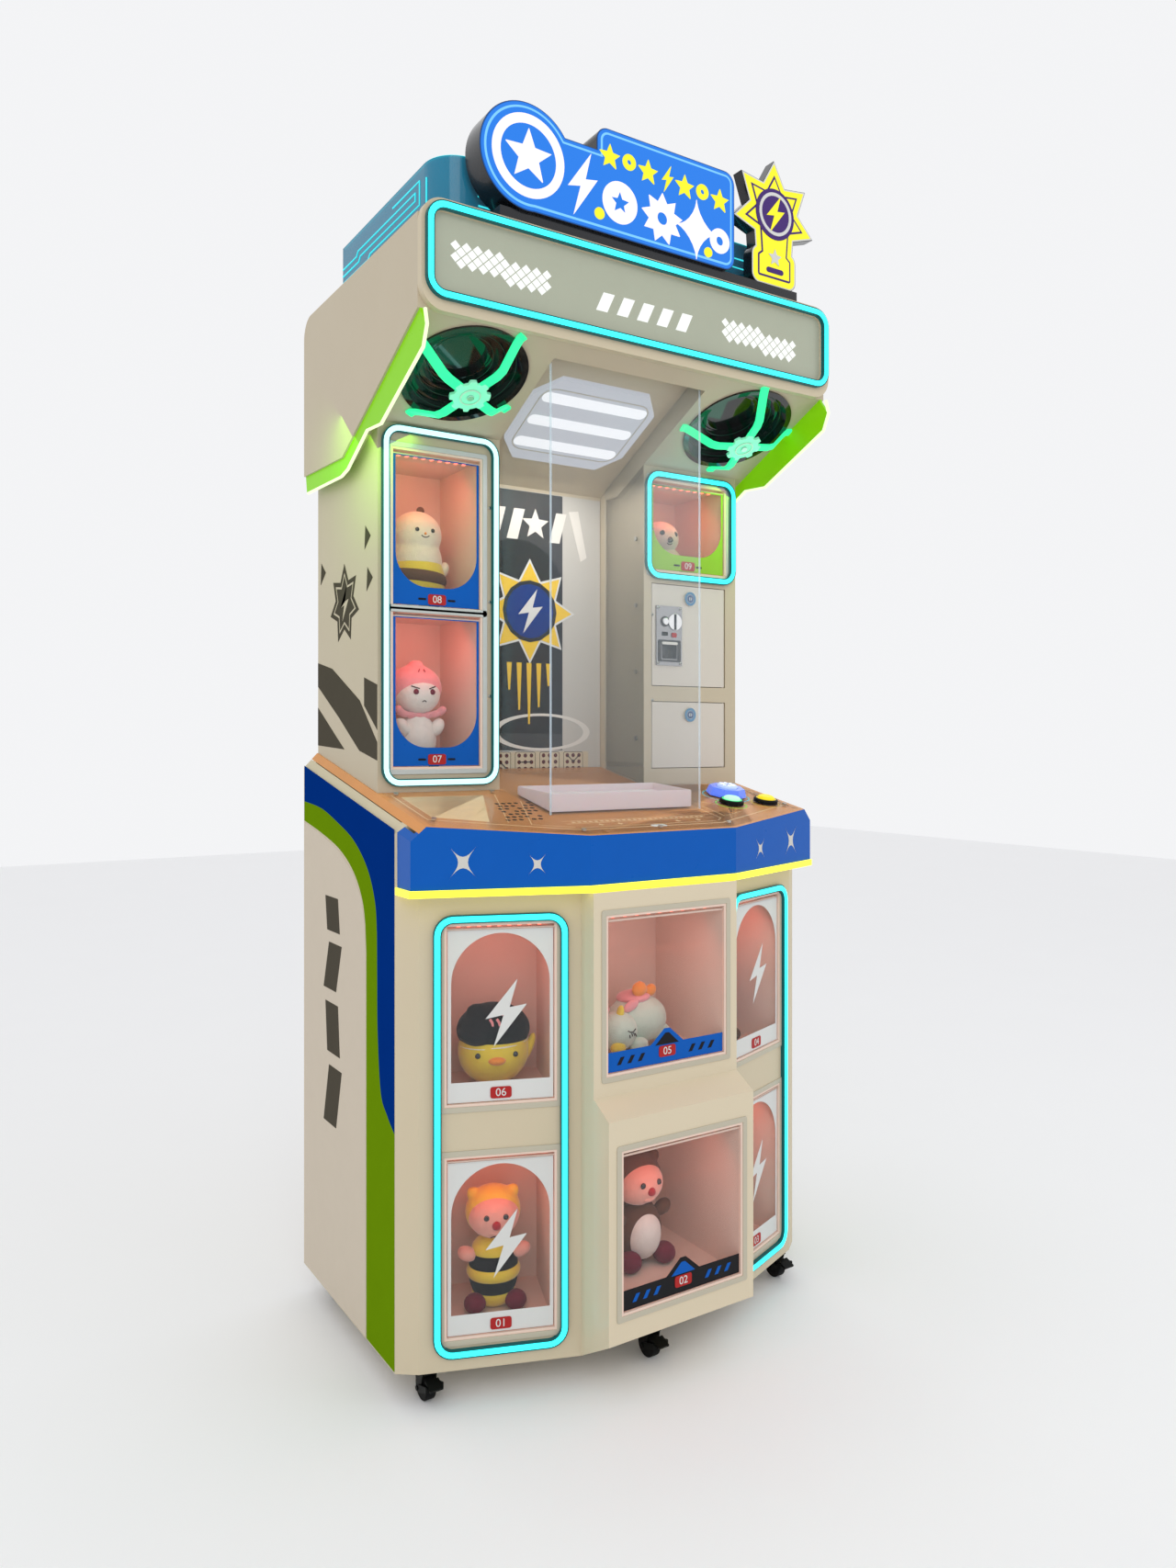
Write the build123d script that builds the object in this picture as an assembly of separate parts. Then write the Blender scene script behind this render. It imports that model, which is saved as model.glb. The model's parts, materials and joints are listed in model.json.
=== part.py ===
"""Ball-play prize cabinet: nine numbered prize bays round a play field with a sloping deck.

Millimetres. +X is to the player's right, -Y faces the player and +Z is up. The origin is the middle of
the footprint on the floor. Places from front to back are given as a depth, forward of the back plane.
"""
from build123d import *
import math
import os

os.makedirs("parts", exist_ok=True)

# ---- Lower cabinet ----
base_width = 900.0
caster_rise = 10.0            # from the top of the wheels to the underside
side_depth = 465.0            # the flat sides, from the back plane forward
corner_half = 418.0           # small cut corner between each side and its canted front
corner_depth = 489.0
canted_depth = 587.0          # where the canted fronts meet the middle column
board = 15.0                  # painted board of the lower, middle and top cabinets
back_recess = 12.0            # the back panels lie this far inside the back plane

# ---- Middle column ----
column_width = 316.0
column_depth = 626.0
foot_depth = 672.0            # the lower window stands further forward: the machine's full depth
foot_top = 480.0
foot_shoulder = 27.0
foot_lip = 107.0              # lowest edge of the foot's front face
column_skin = 6.0

# ---- Control deck and fascia ----
deck_slope = 0.2177           # rise per unit of depth towards the back
deck_front = 957.0            # height of the deck's front edge
fascia_depth = 621.0
fascia_half = 161.0           # half the width of the fascia's middle facet
fascia_side = 447.0
fascia_corner_depth = 521.0
fascia_bottom = 869.0
fascia_board = 10.0
tube_height = 12.0
tube_width = 12.0
tube_proud = 3.0
deck_board = 12.0
deck_sheet = 3.0
shoulder_in = 30.0            # bevel along the deck's two long edges
shoulder_drop = 32.0

# ---- Middle cabinet ----
mid_width = 841.0
mid_depth = 316.0
play_half = 171.0             # half the width between the play field's side walls
play_back = 146.0
backboard_thick = 6.0

# ---- Top cabinet ----
head_width = 900.0
head_depth = 556.0
head_back_low = 1650.0
head_knee_depth = 215.0
head_knee = 1643.0
head_front_low = 1811.0
roof = 1965.0
roof_back_radius = 40.0
ceiling_back = 1652.0         # the play field's ceiling, where it meets the back of the field
ceiling_slope = 0.514
recess_front = 518.0
recess_board = 10.0
face_thick = 14.0             # lit front panel of the top cabinet
face_low = 1808.0
face_high = 1990.0
face_radius = 40.0
face_sink = 4.0
trim_thick = 6.0
trim_inset = 4.0

# ---- Prize bays: clear width, height and depth inside ----
bay_wall = 5.0
bay_fit = 0.4
canted_bay = (184.0, 300.0, 185.0)
window_size = (257.0, 268.0)
window_back = 410.0           # depth of the middle bays' back walls
tall_bay = (178.0, 283.0, 178.0)
wide_bay = (198.0, 187.0, 178.0)
canted_bay_heights = (260.0, 652.0)
window_heights = (290.0, 678.0)
tall_bay_x = -301.5
tall_bay_heights = (1208.0, 1505.0)
bay_side_gap = 0.5            # between the wide bay's box and the play field's wall
wide_bay_height = 1569.5
door_thick = 5.0
door_gap = 1.5
flap_barrel = 5.0             # radius
flap_pin = 2.0                # radius
pin_fit = 0.05
latch_size = (16.0, 11.0, 24.0)
latch_gap = 3.0

# ---- Light frames: width, height and middle height ----
frame_band = 14.0
frame_rise = 8.0
frame_radius = 34.0
canted_frame = (231.0, 744.0, 450.0)
left_frame = (238.0, 659.0, 1360.5, -294.7)
right_frame = (243.0, 228.0, 1569.3, 294.5)
face_frame = (887.0, 158.0, 1905.0)

# ---- Service doors ----
door_plate = 3.0
service_x = 291.0
service_width = 201.0
coin_door_span = (1230.0, 1447.0)
cash_door_span = (1056.0, 1198.0)
hinge_barrel = 4.0
hinge_pin = 2.0
lock_ring = 15.0
lock_plug = 9.0
lock_proud = 4.0
lock_drop = 28.0              # from a door's top edge down to its lock
lock_cam = (12.0, 38.0, 3.0)
rear_width = 340.0
rear_span = (180.0, 820.0)
rear_thick = 12.0
rear_barrel = 6.0
rear_pin = 3.0

# ---- Coin selector and cash box ----
selector_x = 235.7
selector_low = 1274.0
selector_size = (68.0, 126.0)
selector_plate = 3.0
selector_body = (60.0, 45.0, 112.0)
coin_slot = (6.0, 34.0)
coin_slot_depth = 26.0
return_mouth = (40.0, 30.0)
return_depth = 28.0
return_button = 8.0
return_fit = 0.3
return_travel = 3.0
cash_box_size = (150.0, 125.0, 95.0)
cash_box_depth = 280.0        # depth of its front wall
cash_box_wall = 2.0
shelf_height = 1068.0
shelf_back = 150.0
shelf_thick = 10.0
selector_slot_x = 14.0        # from the plate's middle
selector_button_x = -12.0
selector_high = 30.0
selector_mouth_z = -34.0
lock_depth = 22.0             # from the door's face to the cam's outer face
key_slot = (1.6, 9.0)

# ---- Vents and electronics ----
vent_half = 90.0
vent_low = 1300.0
vent_pitch = 30.0
vent_count = 5
vent_height = 8.0
tray_plate = (150.0, 60.0, 260.0, 3.0)        # half width, back, front and thickness
supply_size = (-140.0, -30.0, 80.0, 240.0, 50.0)
control_board = (-5.0, 145.0, 85.0, 235.0, 2.0)
board_posts = (5.0, 10.0)                     # inset and height
inlet_size = (300.0, 350.0, 120.0, 150.0)
inlet_proud = 6.0
inlet_rim = (8.0, 5.0)

# ---- Push buttons ----
button_places = {"start": (275.0, 474.0), "select": (364.0, 477.0), "drop": (312.0, 413.0)}
button_collar = 25.0
button_cap = 17.0
button_barrel = 14.0
button_stem = 5.5
dome_collar = 41.0
dome_cap = 22.0
button_clear = 0.4
button_travel = 3.0

# ---- Speakers ----
speaker_x = 312.0
speaker_depth = 447.0
speaker_steps = ((104.0, 14.0), (86.0, 28.0), (68.0, 40.0), (50.0, 50.0))
speaker_wall = 4.0
speaker_rim = 115.0
magnet_inset = 12.0
magnet_thick = 26.0
spoke_reach = 128.0
spoke_width = 12.0
spoke_height = 50.0
hub_radius = 27.0
hub_thick = 12.0

# ---- Play field ----
cover_thick = 4.0
screw_head = (4.5, 3.0)       # radius and height
screw_inset = 25.0            # from the sheet's long edges
screw_front = 21.0            # from the fascia's front
screw_rows = (340.0, 500.0)
well_screw_x = 200.0
wall_screws = (1120.0, 1260.0, 1400.0, 1540.0)
wall_screw_inset = 22.0
cover_depth = 505.0
cover_back = 175.0
tray_gap = 11.0               # between the tray and the play field's side walls
tray_front = 492.0
tray_back = 200.0
tray_wall = 4.0
tray_rise = 32.0
light_gap = 30.0              # between the ceiling light and the play field's side walls
light_front = 434.0
light_back = 237.0
light_corner = 42.0
light_thick = 8.0

# ---- Roof fence and sign ----
fence_half = 384.0
fence_depth = 496.0
fence_back = 4.0
fence_top = 2112.0
fence_thick = 6.0
fence_radius = 60.0
sign_depth = 562.0
sign_thick = 52.0
sign_low = 2015.0
sign_left = -342.0
sign_right = 207.0
sign_ball = (-250.0, 2106.0, 92.0)
sign_top = 2203.0
sign_mid_top = 2160.0
sign_step_x = -110.0
stand_left = -300.0
stand_right = 376.0
emblem_x = 318.0
emblem_top = 2265.0
emblem_reach = 108.0
emblem_thick = 24.0
emblem_ball = 66.0
emblem_points = 7
emblem_foot = (58.0, 75.0, 20.0)

# ---- Casters ----
wheel_radius = 22.5
pedal_gap = 10.5              # between the tread and the middle of the brake's pedal
wheel_width = 20.0
axle_radius = 4.0
caster_trail = 10.0
caster_plate = 3.0
caster_plate_size = 50.0
kingpin_radius = 8.0
fork_inner = 22.0
fork_cheek = 3.0
fork_top = 3.0
swivel_gap = 1.5
caster_places = {
    "front_left": (-396.0, 460.0),
    "front_right": (396.0, 460.0),
    "front_middle": (0.0, 559.0),
    "rear_left": (-396.0, 60.0),
    "rear_right": (396.0, 60.0),
}
braked = ("front_left", "front_right", "front_middle")

# ---- Values that follow ----
base_bottom = 2 * wheel_radius + caster_rise
wide_bay_x = play_half + board + bay_side_gap + bay_wall + wide_bay[0] / 2
tray_half = play_half - tray_gap
light_half = play_half - light_gap
pedal_reach = wheel_radius + pedal_gap
back_y = foot_depth / 2
far = 1000.0
head_slope = (head_front_low - head_knee) / (head_depth - head_knee_depth)
head_tilt = math.degrees(math.atan(head_slope))
deck_tilt = math.degrees(math.atan(deck_slope))
column_half = column_width / 2


# ---- Small helpers ----
def at(depth):
    """Y of a place that lies this depth forward of the back plane."""
    return back_y - depth


def deck_z(depth):
    """Height of the deck's upper surface."""
    return deck_front + deck_slope * (fascia_depth - depth)


def under_z(depth):
    """Height of the top cabinet's sloping underside."""
    return head_knee + head_slope * (depth - head_knee_depth)


def ceiling_z(depth):
    """Height of the play field's ceiling."""
    return ceiling_back + ceiling_slope * (depth - play_back - backboard_thick)


def plan(points):
    """Flat outline seen from above, from (x, depth) points."""
    corners = [(x, at(depth)) for x, depth in points]
    return make_face(Polyline(*corners, close=True))


def mirrored(points):
    """An outline's left half, front to back order kept, closed by its mirror image."""
    return points + [(-x, depth) for x, depth in reversed(points)]


def upright(face, low, high):
    """A plan outline raised from low to high."""
    return extrude(Pos(0, 0, low) * face, amount=high - low, dir=(0, 0, 1))


def block(x0, x1, depth0, depth1, z0, z1):
    """Box between two widths, two depths and two heights."""
    corner = Pos(x0, at(depth1), z0)
    return corner * Box(x1 - x0, depth1 - depth0, z1 - z0, align=Align.MIN)


def side_prism(points, x0, x1):
    """Solid whose side view is the outline of (depth, height) points, from x0 to x1."""
    corners = [(at(depth), z) for depth, z in points]
    face = Plane.YZ.offset(x0) * make_face(Polyline(*corners, close=True))
    return extrude(face, amount=x1 - x0, dir=(1, 0, 0))


def pair(part):
    """A part and its mirror image on the other side of the machine."""
    return part + mirror(part, about=Plane.YZ)


def between_deck(top_drop, thick):
    """Everything between two levels under the deck's surface."""
    front, back = foot_depth + 50, -50
    points = [(back, deck_z(back) - top_drop), (front, deck_z(front) - top_drop)]
    points += [(depth, z - thick) for depth, z in reversed(points)]
    return side_prism(points, -far, far)


def under_deck(drop):
    """Everything more than drop under the deck's surface."""
    return between_deck(drop, far + 200)


def shoulder_cut():
    """What the bevels along the deck's long edges take away."""
    depth = foot_depth + 50
    z = deck_z(depth)
    edge = base_width / 2
    points = [
        (edge - 2 * shoulder_in, z + shoulder_drop),
        (edge + shoulder_in, z - 2 * shoulder_drop),
        (edge + 100, z - 2 * shoulder_drop),
        (edge + 100, z + 200),
        (edge - 2 * shoulder_in, z + 200),
    ]
    face = Plane.XZ.offset(-at(depth)) * make_face(Polyline(*points, close=True))
    return pair(extrude(face, amount=900, dir=(0, 1, deck_slope)))


def deck_place(x, depth):
    """Frame on the deck's surface: X right, Z along the surface's outward normal."""
    return Pos(x, at(depth), deck_z(depth)) * Rot(X=deck_tilt)


def under_place(x, depth):
    """Frame on the top cabinet's underside, Z pointing out of it, down and forward."""
    return Pos(x, at(depth), under_z(depth)) * Rot(X=180 - head_tilt)


def group(*parts):
    """Several pieces as separate solids of one node."""
    return Compound([solid for part in parts for solid in part.solids()])


def disc(radius, low, high):
    """Upright cylinder between two heights."""
    return Pos(0, 0, low) * Cylinder(radius, high - low, align=(Align.CENTER, Align.CENTER, Align.MIN))


def rod(radius, length, y=0.0, z=0.0):
    """Rod along X, centred on x = 0."""
    return Pos(0, y, z) * Rot(Y=90) * Cylinder(radius, length)


# ---- Outlines ----
base_plan = plan(mirrored([
    (-base_width / 2, 0),
    (-base_width / 2, side_depth),
    (-corner_half, corner_depth),
    (-column_half, canted_depth),
]))
fascia_plan = plan(mirrored([
    (-fascia_side, side_depth),
    (-fascia_side, fascia_corner_depth),
    (-fascia_half, fascia_depth),
]))
base_inner = offset(base_plan, -board, kind=Kind.INTERSECTION)
base_inner &= plan(mirrored([(-far, back_recess + board), (-far, far)]))
head_outline = [
    (0, head_back_low),
    (head_knee_depth, head_knee),
    (head_depth, head_front_low),
    (head_depth, roof),
    (0, roof),
]
head_solid = side_prism(head_outline, -head_width / 2, head_width / 2)


# ---- Prize bays ----
def canted_place(side, height):
    """Frame at the middle of a canted front: X along the front, Y into the machine."""
    run = corner_half - column_half
    drop = canted_depth - corner_depth
    middle = (corner_half + column_half) / 2
    origin = (side * middle, at((corner_depth + canted_depth) / 2), height)
    return Plane(origin, x_dir=(run, side * drop, 0), z_dir=(0, 0, 1)).location


def front_place(x, depth, height):
    """Frame on a flat front: X right, Y into the machine."""
    return Pos(x, at(depth), height)


window_lower = (*window_size, foot_depth - window_back - bay_wall)
window_upper = (*window_size, column_depth - window_back - bay_wall)
bays = {
    "01": (canted_bay, canted_place(-1, canted_bay_heights[0])),
    "02": (window_lower, front_place(0, foot_depth, window_heights[0])),
    "03": (canted_bay, canted_place(1, canted_bay_heights[0])),
    "04": (canted_bay, canted_place(1, canted_bay_heights[1])),
    "05": (window_upper, front_place(0, column_depth, window_heights[1])),
    "06": (canted_bay, canted_place(-1, canted_bay_heights[1])),
    "07": (tall_bay, front_place(tall_bay_x, mid_depth, tall_bay_heights[0])),
    "08": (tall_bay, front_place(tall_bay_x, mid_depth, tall_bay_heights[1])),
    "09": (wide_bay, front_place(wide_bay_x, mid_depth, wide_bay_height)),
}
flap_y = flap_barrel + door_gap
flap_drop = flap_barrel + door_gap


def bay_cut(size, through):
    """Hole in a front board that a bay's box slides through."""
    width, height, _ = size
    reach = 2 * (bay_wall + bay_fit)
    hole = Box(width + reach, through + 60, height + reach, align=(Align.CENTER, Align.MIN, Align.CENTER))
    return Pos(0, -60, 0) * hole


def bay_room(size):
    """Everything that a bay's box fills, with its clearance."""
    width, height, depth = size
    reach = 2 * (bay_wall + bay_fit)
    front = (Align.CENTER, Align.MIN, Align.CENTER)
    return Box(width + reach, depth + bay_wall + bay_fit, height + reach, align=front)


def bay_box(size):
    """Open-fronted box with the pin that its flap hangs on."""
    width, height, depth = size
    front = (Align.CENTER, Align.MIN, Align.CENTER)
    outer = Box(width + 2 * bay_wall, depth + bay_wall, height + 2 * bay_wall, align=front)
    inner = Pos(0, -1, 0) * Box(width, depth + 1, height, align=front)
    pin = rod(flap_pin, width + bay_wall, flap_y, height / 2 - flap_drop)
    return outer - inner + pin


def bay_flap(size):
    """Clear door that hangs from a barrel along its top edge."""
    width, height, _ = size
    span = width - 2 * door_gap
    axis_z = height / 2 - flap_drop
    low = door_gap - height / 2
    pane = Box(span, door_thick, axis_z - low, align=(Align.CENTER, Align.CENTER, Align.MIN))
    flap = Pos(0, flap_y, low) * pane + rod(flap_barrel, span, flap_y, axis_z)
    return flap - rod(flap_pin + pin_fit, span + 2, flap_y, axis_z)


def bay_latch(size):
    """Lock behind the lower edge of a flap, standing on the bay's floor."""
    width, deep, high = latch_size
    body = Box(width, deep, high, align=(Align.CENTER, Align.MIN, Align.MIN))
    return Pos(0, flap_y + door_thick / 2 + latch_gap, -size[1] / 2) * body


# ---- Lower cabinet, column, deck ----
def base_cabinet():
    shell = upright(base_plan, base_bottom, 1200) & under_deck(deck_sheet + deck_board)
    shell -= shoulder_cut()
    shell -= upright(base_inner, base_bottom + board, 1300)
    side = base_width / 2 - board
    shell -= block(-side, side, -1, back_recess, base_bottom + board, 1300)
    for size, place in bays.values():
        shell -= place * bay_cut(size, foot_depth - canted_depth + board + 1)
    low, high = rear_span
    back = back_recess + board
    shell -= block(-rear_width / 2, rear_width / 2, 0, back + 1, low, high)
    return shell + rear_hinge() * disc(rear_pin, low - 2, high + 2)


def rear_hinge():
    """Foot of the rear door's hinge line, at the level of the floor."""
    return Pos(rear_width / 2 - rear_barrel - door_gap, at(back_recess + rear_barrel), 0)


def rear_door():
    low, high = rear_span
    edge = rear_width / 2 - door_gap
    hinge_x = rear_width / 2 - rear_barrel - door_gap
    span = (low + door_gap, high - door_gap)
    plate = block(-edge, hinge_x, back_recess, back_recess + rear_thick, *span)
    plate += rear_hinge() * disc(rear_barrel, *span)
    plate -= rear_hinge() * disc(rear_pin + pin_fit, low - 3, high + 3)
    lock = Pos(-edge + 30, at(back_recess), (low + high) / 2) * Rot(X=-90) * disc(lock_ring, 0, lock_proud)
    return plate + lock


def centre_column():
    top = fascia_bottom - tube_height - 1
    points = [
        (canted_depth, base_bottom),
        (foot_depth, foot_lip),
        (foot_depth, foot_top),
        (column_depth, foot_top + foot_shoulder),
        (column_depth, top),
        (canted_depth, top),
    ]
    outer = side_prism(points, -column_half, column_half)
    inside = [
        (canted_depth - 1, base_bottom + column_skin + 2),
        (foot_depth - column_skin, foot_lip + column_skin),
        (foot_depth - column_skin, foot_top - column_skin / 2),
        (column_depth - column_skin, foot_top + foot_shoulder - column_skin / 2),
        (column_depth - column_skin, top - column_skin),
        (canted_depth - 1, top - column_skin),
    ]
    cover = outer - side_prism(inside, column_skin - column_half, column_half - column_skin)
    for name in ("02", "05"):
        size, place = bays[name]
        cover -= place * bay_cut(size, foot_depth - canted_depth + 1)
    return cover


def fascia_band():
    outer = upright(fascia_plan, fascia_bottom, 1200)
    inner = offset(fascia_plan, -fascia_board, kind=Kind.INTERSECTION)
    band = outer - upright(inner, fascia_bottom + fascia_board, 1300)
    band -= upright(base_plan, 0, 1300)
    band &= under_deck(deck_sheet + deck_board)
    return band - shoulder_cut()


def fascia_light_tube():
    outer = offset(fascia_plan, tube_proud, kind=Kind.INTERSECTION)
    inner = offset(fascia_plan, tube_proud - tube_width, kind=Kind.INTERSECTION)
    ring = upright(outer - inner, fascia_bottom - tube_height, fascia_bottom)
    ring -= upright(base_plan, 0, 1300)
    return ring & block(-far, far, side_depth, far, 0, 1300)


def button_holes():
    """Holes through the deck for the push buttons' barrels."""
    holes = Part()
    for x, depth in button_places.values():
        holes += deck_place(x, depth) * disc(button_barrel + button_clear, -60, 60)
    return holes


def play_deck():
    slab = upright(base_plan + fascia_plan, 800, 1300) & between_deck(deck_sheet, deck_board)
    return slab - shoulder_cut() - button_holes()


def deck_cover_sheet():
    edge = base_width / 2 - shoulder_in - 8
    reach = fascia_depth + 20
    front = offset(base_plan + fascia_plan, -8, kind=Kind.INTERSECTION)
    front &= plan(mirrored([(-edge, mid_depth + 2), (-edge, reach)]))
    well = plan(mirrored([(2 - play_half, play_back + backboard_thick + 1), (2 - play_half, mid_depth + 3)]))
    return upright(front + well, 800, 1300) & between_deck(0, deck_sheet) - button_holes()


# ---- Middle cabinet ----
mid_half = mid_width / 2


def mid_outline(wall):
    """Plan of the middle cabinet: two columns joined behind the play field."""
    return plan(mirrored([
        (wall - mid_half, back_recess + wall if wall else 0),
        (wall - mid_half, mid_depth - wall),
        (-play_half - wall, mid_depth - wall),
        (-play_half - wall, play_back - wall),
    ]))


def hinge_place(span):
    """Middle of a service door's hinge line, at its right edge."""
    x = service_x + service_width / 2 - hinge_barrel - door_gap
    return Pos(x, at(mid_depth - hinge_barrel), sum(span) / 2)


def mid_cabinet():
    shell = upright(mid_outline(0), 900, 1800) - upright(mid_outline(board), 890, 1810)
    inner = mid_half - board
    shell -= block(-inner, inner, -1, back_recess, 900, 1800)
    shell -= under_deck(deck_sheet)
    shell -= head_solid
    for name in ("07", "08", "09"):
        size, place = bays[name]
        shell -= place * bay_cut(size, board)
    low = shelf_height - shelf_thick
    shell += block(play_half + board, inner, shelf_back, mid_depth - board, low, shelf_height)
    for span in (coin_door_span, cash_door_span):
        x0 = service_x - service_width / 2
        shell -= block(x0, x0 + service_width, mid_depth - board, mid_depth + 1, *span)
        tall = span[1] - span[0]
        shell += hinge_place(span) * disc(hinge_pin, -tall / 2 - 2, tall / 2 + 2)
    for level in range(vent_count):
        z = vent_low + vent_pitch * level
        shell -= block(-vent_half, vent_half, back_recess - 1, back_recess + board + 1, z, z + vent_height)
    return shell


def play_backboard():
    half = play_half - 1
    tall = block(-half, half, play_back, play_back + backboard_thick, 900, 1900)
    tall -= under_deck(deck_sheet)
    points = [(0, ceiling_z(0) - 1), (far, ceiling_z(far) - 1), (far, 3000), (0, 3000)]
    return tall - side_prism(points, -far, far) - head_solid


# ---- Service doors, locks and coin parts ----
def lock_place(span):
    return Pos(service_x, at(mid_depth), span[1] - lock_drop) * Rot(X=90)


def service_door(span):
    """Sheet-metal door with a hinge barrel on its right edge and a lock's collar near its top."""
    left = service_x - service_width / 2 + door_gap
    hinge_x = service_x + service_width / 2 - hinge_barrel - door_gap
    low, high = span[0] + door_gap, span[1] - door_gap
    tall = high - low
    door = block(left, hinge_x, mid_depth - door_plate, mid_depth, low, high)
    door += hinge_place(span) * disc(hinge_barrel, -tall / 2, tall / 2)
    door -= hinge_place(span) * disc(hinge_pin + pin_fit, -tall, tall)
    door += lock_place(span) * disc(lock_ring, -door_plate, lock_proud)
    return door - lock_place(span) * disc(lock_plug + pin_fit, -20, 20)


def coin_door():
    width, _, height = selector_body
    low = selector_low + (selector_size[1] - height) / 2
    x0 = selector_x - width / 2
    hole = block(x0 - 1, x0 + width + 1, mid_depth - 20, mid_depth + 1, low - 1, low + height + 1)
    return service_door(coin_door_span) - hole


def door_lock(span):
    """Key plug with the cam behind it, in the open position."""
    width, reach, thick = lock_cam
    plug = disc(lock_plug, -lock_depth, lock_proud + 1)
    plug -= Pos(0, 0, lock_proud + 1) * Box(*key_slot, 5)
    cam = Box(reach, width, thick, align=(Align.MIN, Align.CENTER, Align.MAX))
    return lock_place(span) * (plug + Pos(-reach + 4, 0, -lock_depth) * cam)


def coin_selector():
    """Chrome plate and mechanism with a coin slot, a return mouth and a button's bore."""
    width, deep, height = selector_body
    middle = selector_low + selector_size[1] / 2
    back = (Align.CENTER, Align.MAX, Align.CENTER)
    plate = Box(selector_size[0], selector_plate, selector_size[1], align=back)
    body = Box(width, deep, height, align=(Align.CENTER, Align.MIN, Align.CENTER))
    front = (Align.CENTER, Align.MIN, Align.CENTER)
    slot = Box(coin_slot[0], coin_slot_depth + selector_plate + 1, coin_slot[1], align=front)
    mouth = Box(return_mouth[0], return_depth + selector_plate + 1, return_mouth[1], align=front)
    part = plate + body
    part -= Pos(selector_slot_x, -selector_plate - 1, selector_high) * slot
    part -= Pos(0, -selector_plate - 1, selector_mouth_z) * mouth
    part -= Pos(selector_button_x, 0, selector_high) * Rot(X=90) * disc(return_button + return_fit, -16, 10)
    return Pos(selector_x, at(mid_depth), middle) * part


def coin_return_button():
    middle = selector_low + selector_size[1] / 2
    button = fillet(disc(return_button, -11, selector_plate + 5).edges().group_by(Axis.Z)[-1], 2)
    return Pos(selector_x + selector_button_x, at(mid_depth), middle + selector_high) * Rot(X=90) * button


def coin_box():
    width, deep, high = cash_box_size
    x0 = service_x - width / 2
    outer = block(x0, x0 + width, cash_box_depth - deep, cash_box_depth, shelf_height, shelf_height + high)
    wall = cash_box_wall
    inner = block(x0 + wall, x0 + width - wall, cash_box_depth - deep + wall, cash_box_depth - wall,
                  shelf_height + wall, shelf_height + high + 1)
    return outer - inner


def electronics():
    """Tray on the cabinet's floor with the power supply and the control board, and the mains inlet."""
    floor = base_bottom + board
    half, back, front, thick = tray_plate
    tray = block(-half, half, back, front, floor, floor + thick)
    low = floor + thick
    x0, x1, d0, d1, high = supply_size
    supply = block(x0, x1, d0, d1, low, low + high)
    x0, x1, d0, d1, thick = control_board
    inset, rise = board_posts
    posts = block(x0 + inset, x1 - inset, d0 + inset, d1 - inset, low, low + rise)
    low += rise
    controller = block(x0, x1, d0, d1, low, low + thick)
    low += thick
    controller += block(x0 + 35, x0 + 75, d0 + 45, d0 + 85, low, low + 4)
    controller += block(x1 - 55, x1 - 15, d0 + 15, d1 - 15, low, low + 12)
    x0, x1, z0, z1 = inlet_size
    rim_x, rim_z = inlet_rim
    inlet = block(x0, x1, back_recess - inlet_proud, back_recess, z0, z1)
    inlet -= block(x0 + rim_x, x1 - rim_x, 0, back_recess - 2, z0 + rim_z, z1 - rim_z)
    return group(tray, supply, posts + controller, inlet)


# ---- Top cabinet ----
def recess(grow):
    """The play field's recess in the top cabinet, grown by a wall."""
    back = play_back + backboard_thick - grow
    front = recess_front + grow
    points = [
        (back, head_knee - 60),
        (front, head_knee - 60),
        (front, ceiling_z(front) + grow),
        (back, ceiling_z(back) + grow),
    ]
    return side_prism(points, -play_half - grow, play_half + grow)


def head_cabinet():
    edges = head_solid.edges().filter_by(Axis.X).sort_by(Axis.Z)
    back_edge = edges[-2:].sort_by(Axis.Y)[-1]
    outer = fillet(back_edge, roof_back_radius)
    half = head_width / 2 - board
    room = side_prism([
        (back_recess + board, head_back_low + board),
        (head_knee_depth, head_knee + board),
        (head_depth - board, under_z(head_depth - board) + board * 1.1),
        (head_depth - board, roof - board),
        (roof_back_radius, roof - board),
        (back_recess + board, roof - roof_back_radius),
    ], -half, half)
    shell = outer - room
    shell -= block(-half, half, -1, back_recess, head_back_low + board, roof - roof_back_radius - board)
    shell += recess(recess_board) & outer
    shell -= recess(0)
    for side in (-1, 1):
        hole = disc(speaker_steps[0][0] + speaker_wall + button_clear, -board - 8, 20)
        shell -= under_place(side * speaker_x, speaker_depth) * hole
    for name in ("08", "09"):
        size, place = bays[name]
        shell -= place * bay_room(size)
    return shell


def front_plate(width, low, high, radius, depth0, depth1):
    """Upright rounded plate facing the player, between two depths."""
    face = Pos(0, (low + high) / 2) * RectangleRounded(width, high - low, radius)
    face = Plane.XZ.offset(-at(depth0)) * face
    return extrude(face, amount=depth1 - depth0, dir=(0, -1, 0))


def header_front_panel():
    front = head_depth + face_thick
    panel = front_plate(head_width, face_low, face_high, face_radius, head_depth, front)
    width, height, middle = face_frame
    low = middle - height / 2 + frame_band
    high = middle + height / 2 - frame_band
    radius = frame_radius - frame_band
    sunk = front_plate(width - 2 * frame_band, low, high, radius, front - face_sink, front + 1)
    return panel - sunk


def header_side_trims():
    """Light plates that hang under the top cabinet's side edges."""
    points = [
        (0, head_back_low),
        (head_knee_depth, head_knee),
        (head_depth, head_front_low),
        (head_depth, face_low),
        (577, 1779),
        (563, 1747),
        (389, 1666),
        (325, 1670),
        (229, 1620),
        (196, 1613),
        (6, 1617.5),
    ]
    x = head_width / 2 - trim_inset
    return pair(side_prism(points, x - trim_thick, x))


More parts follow.
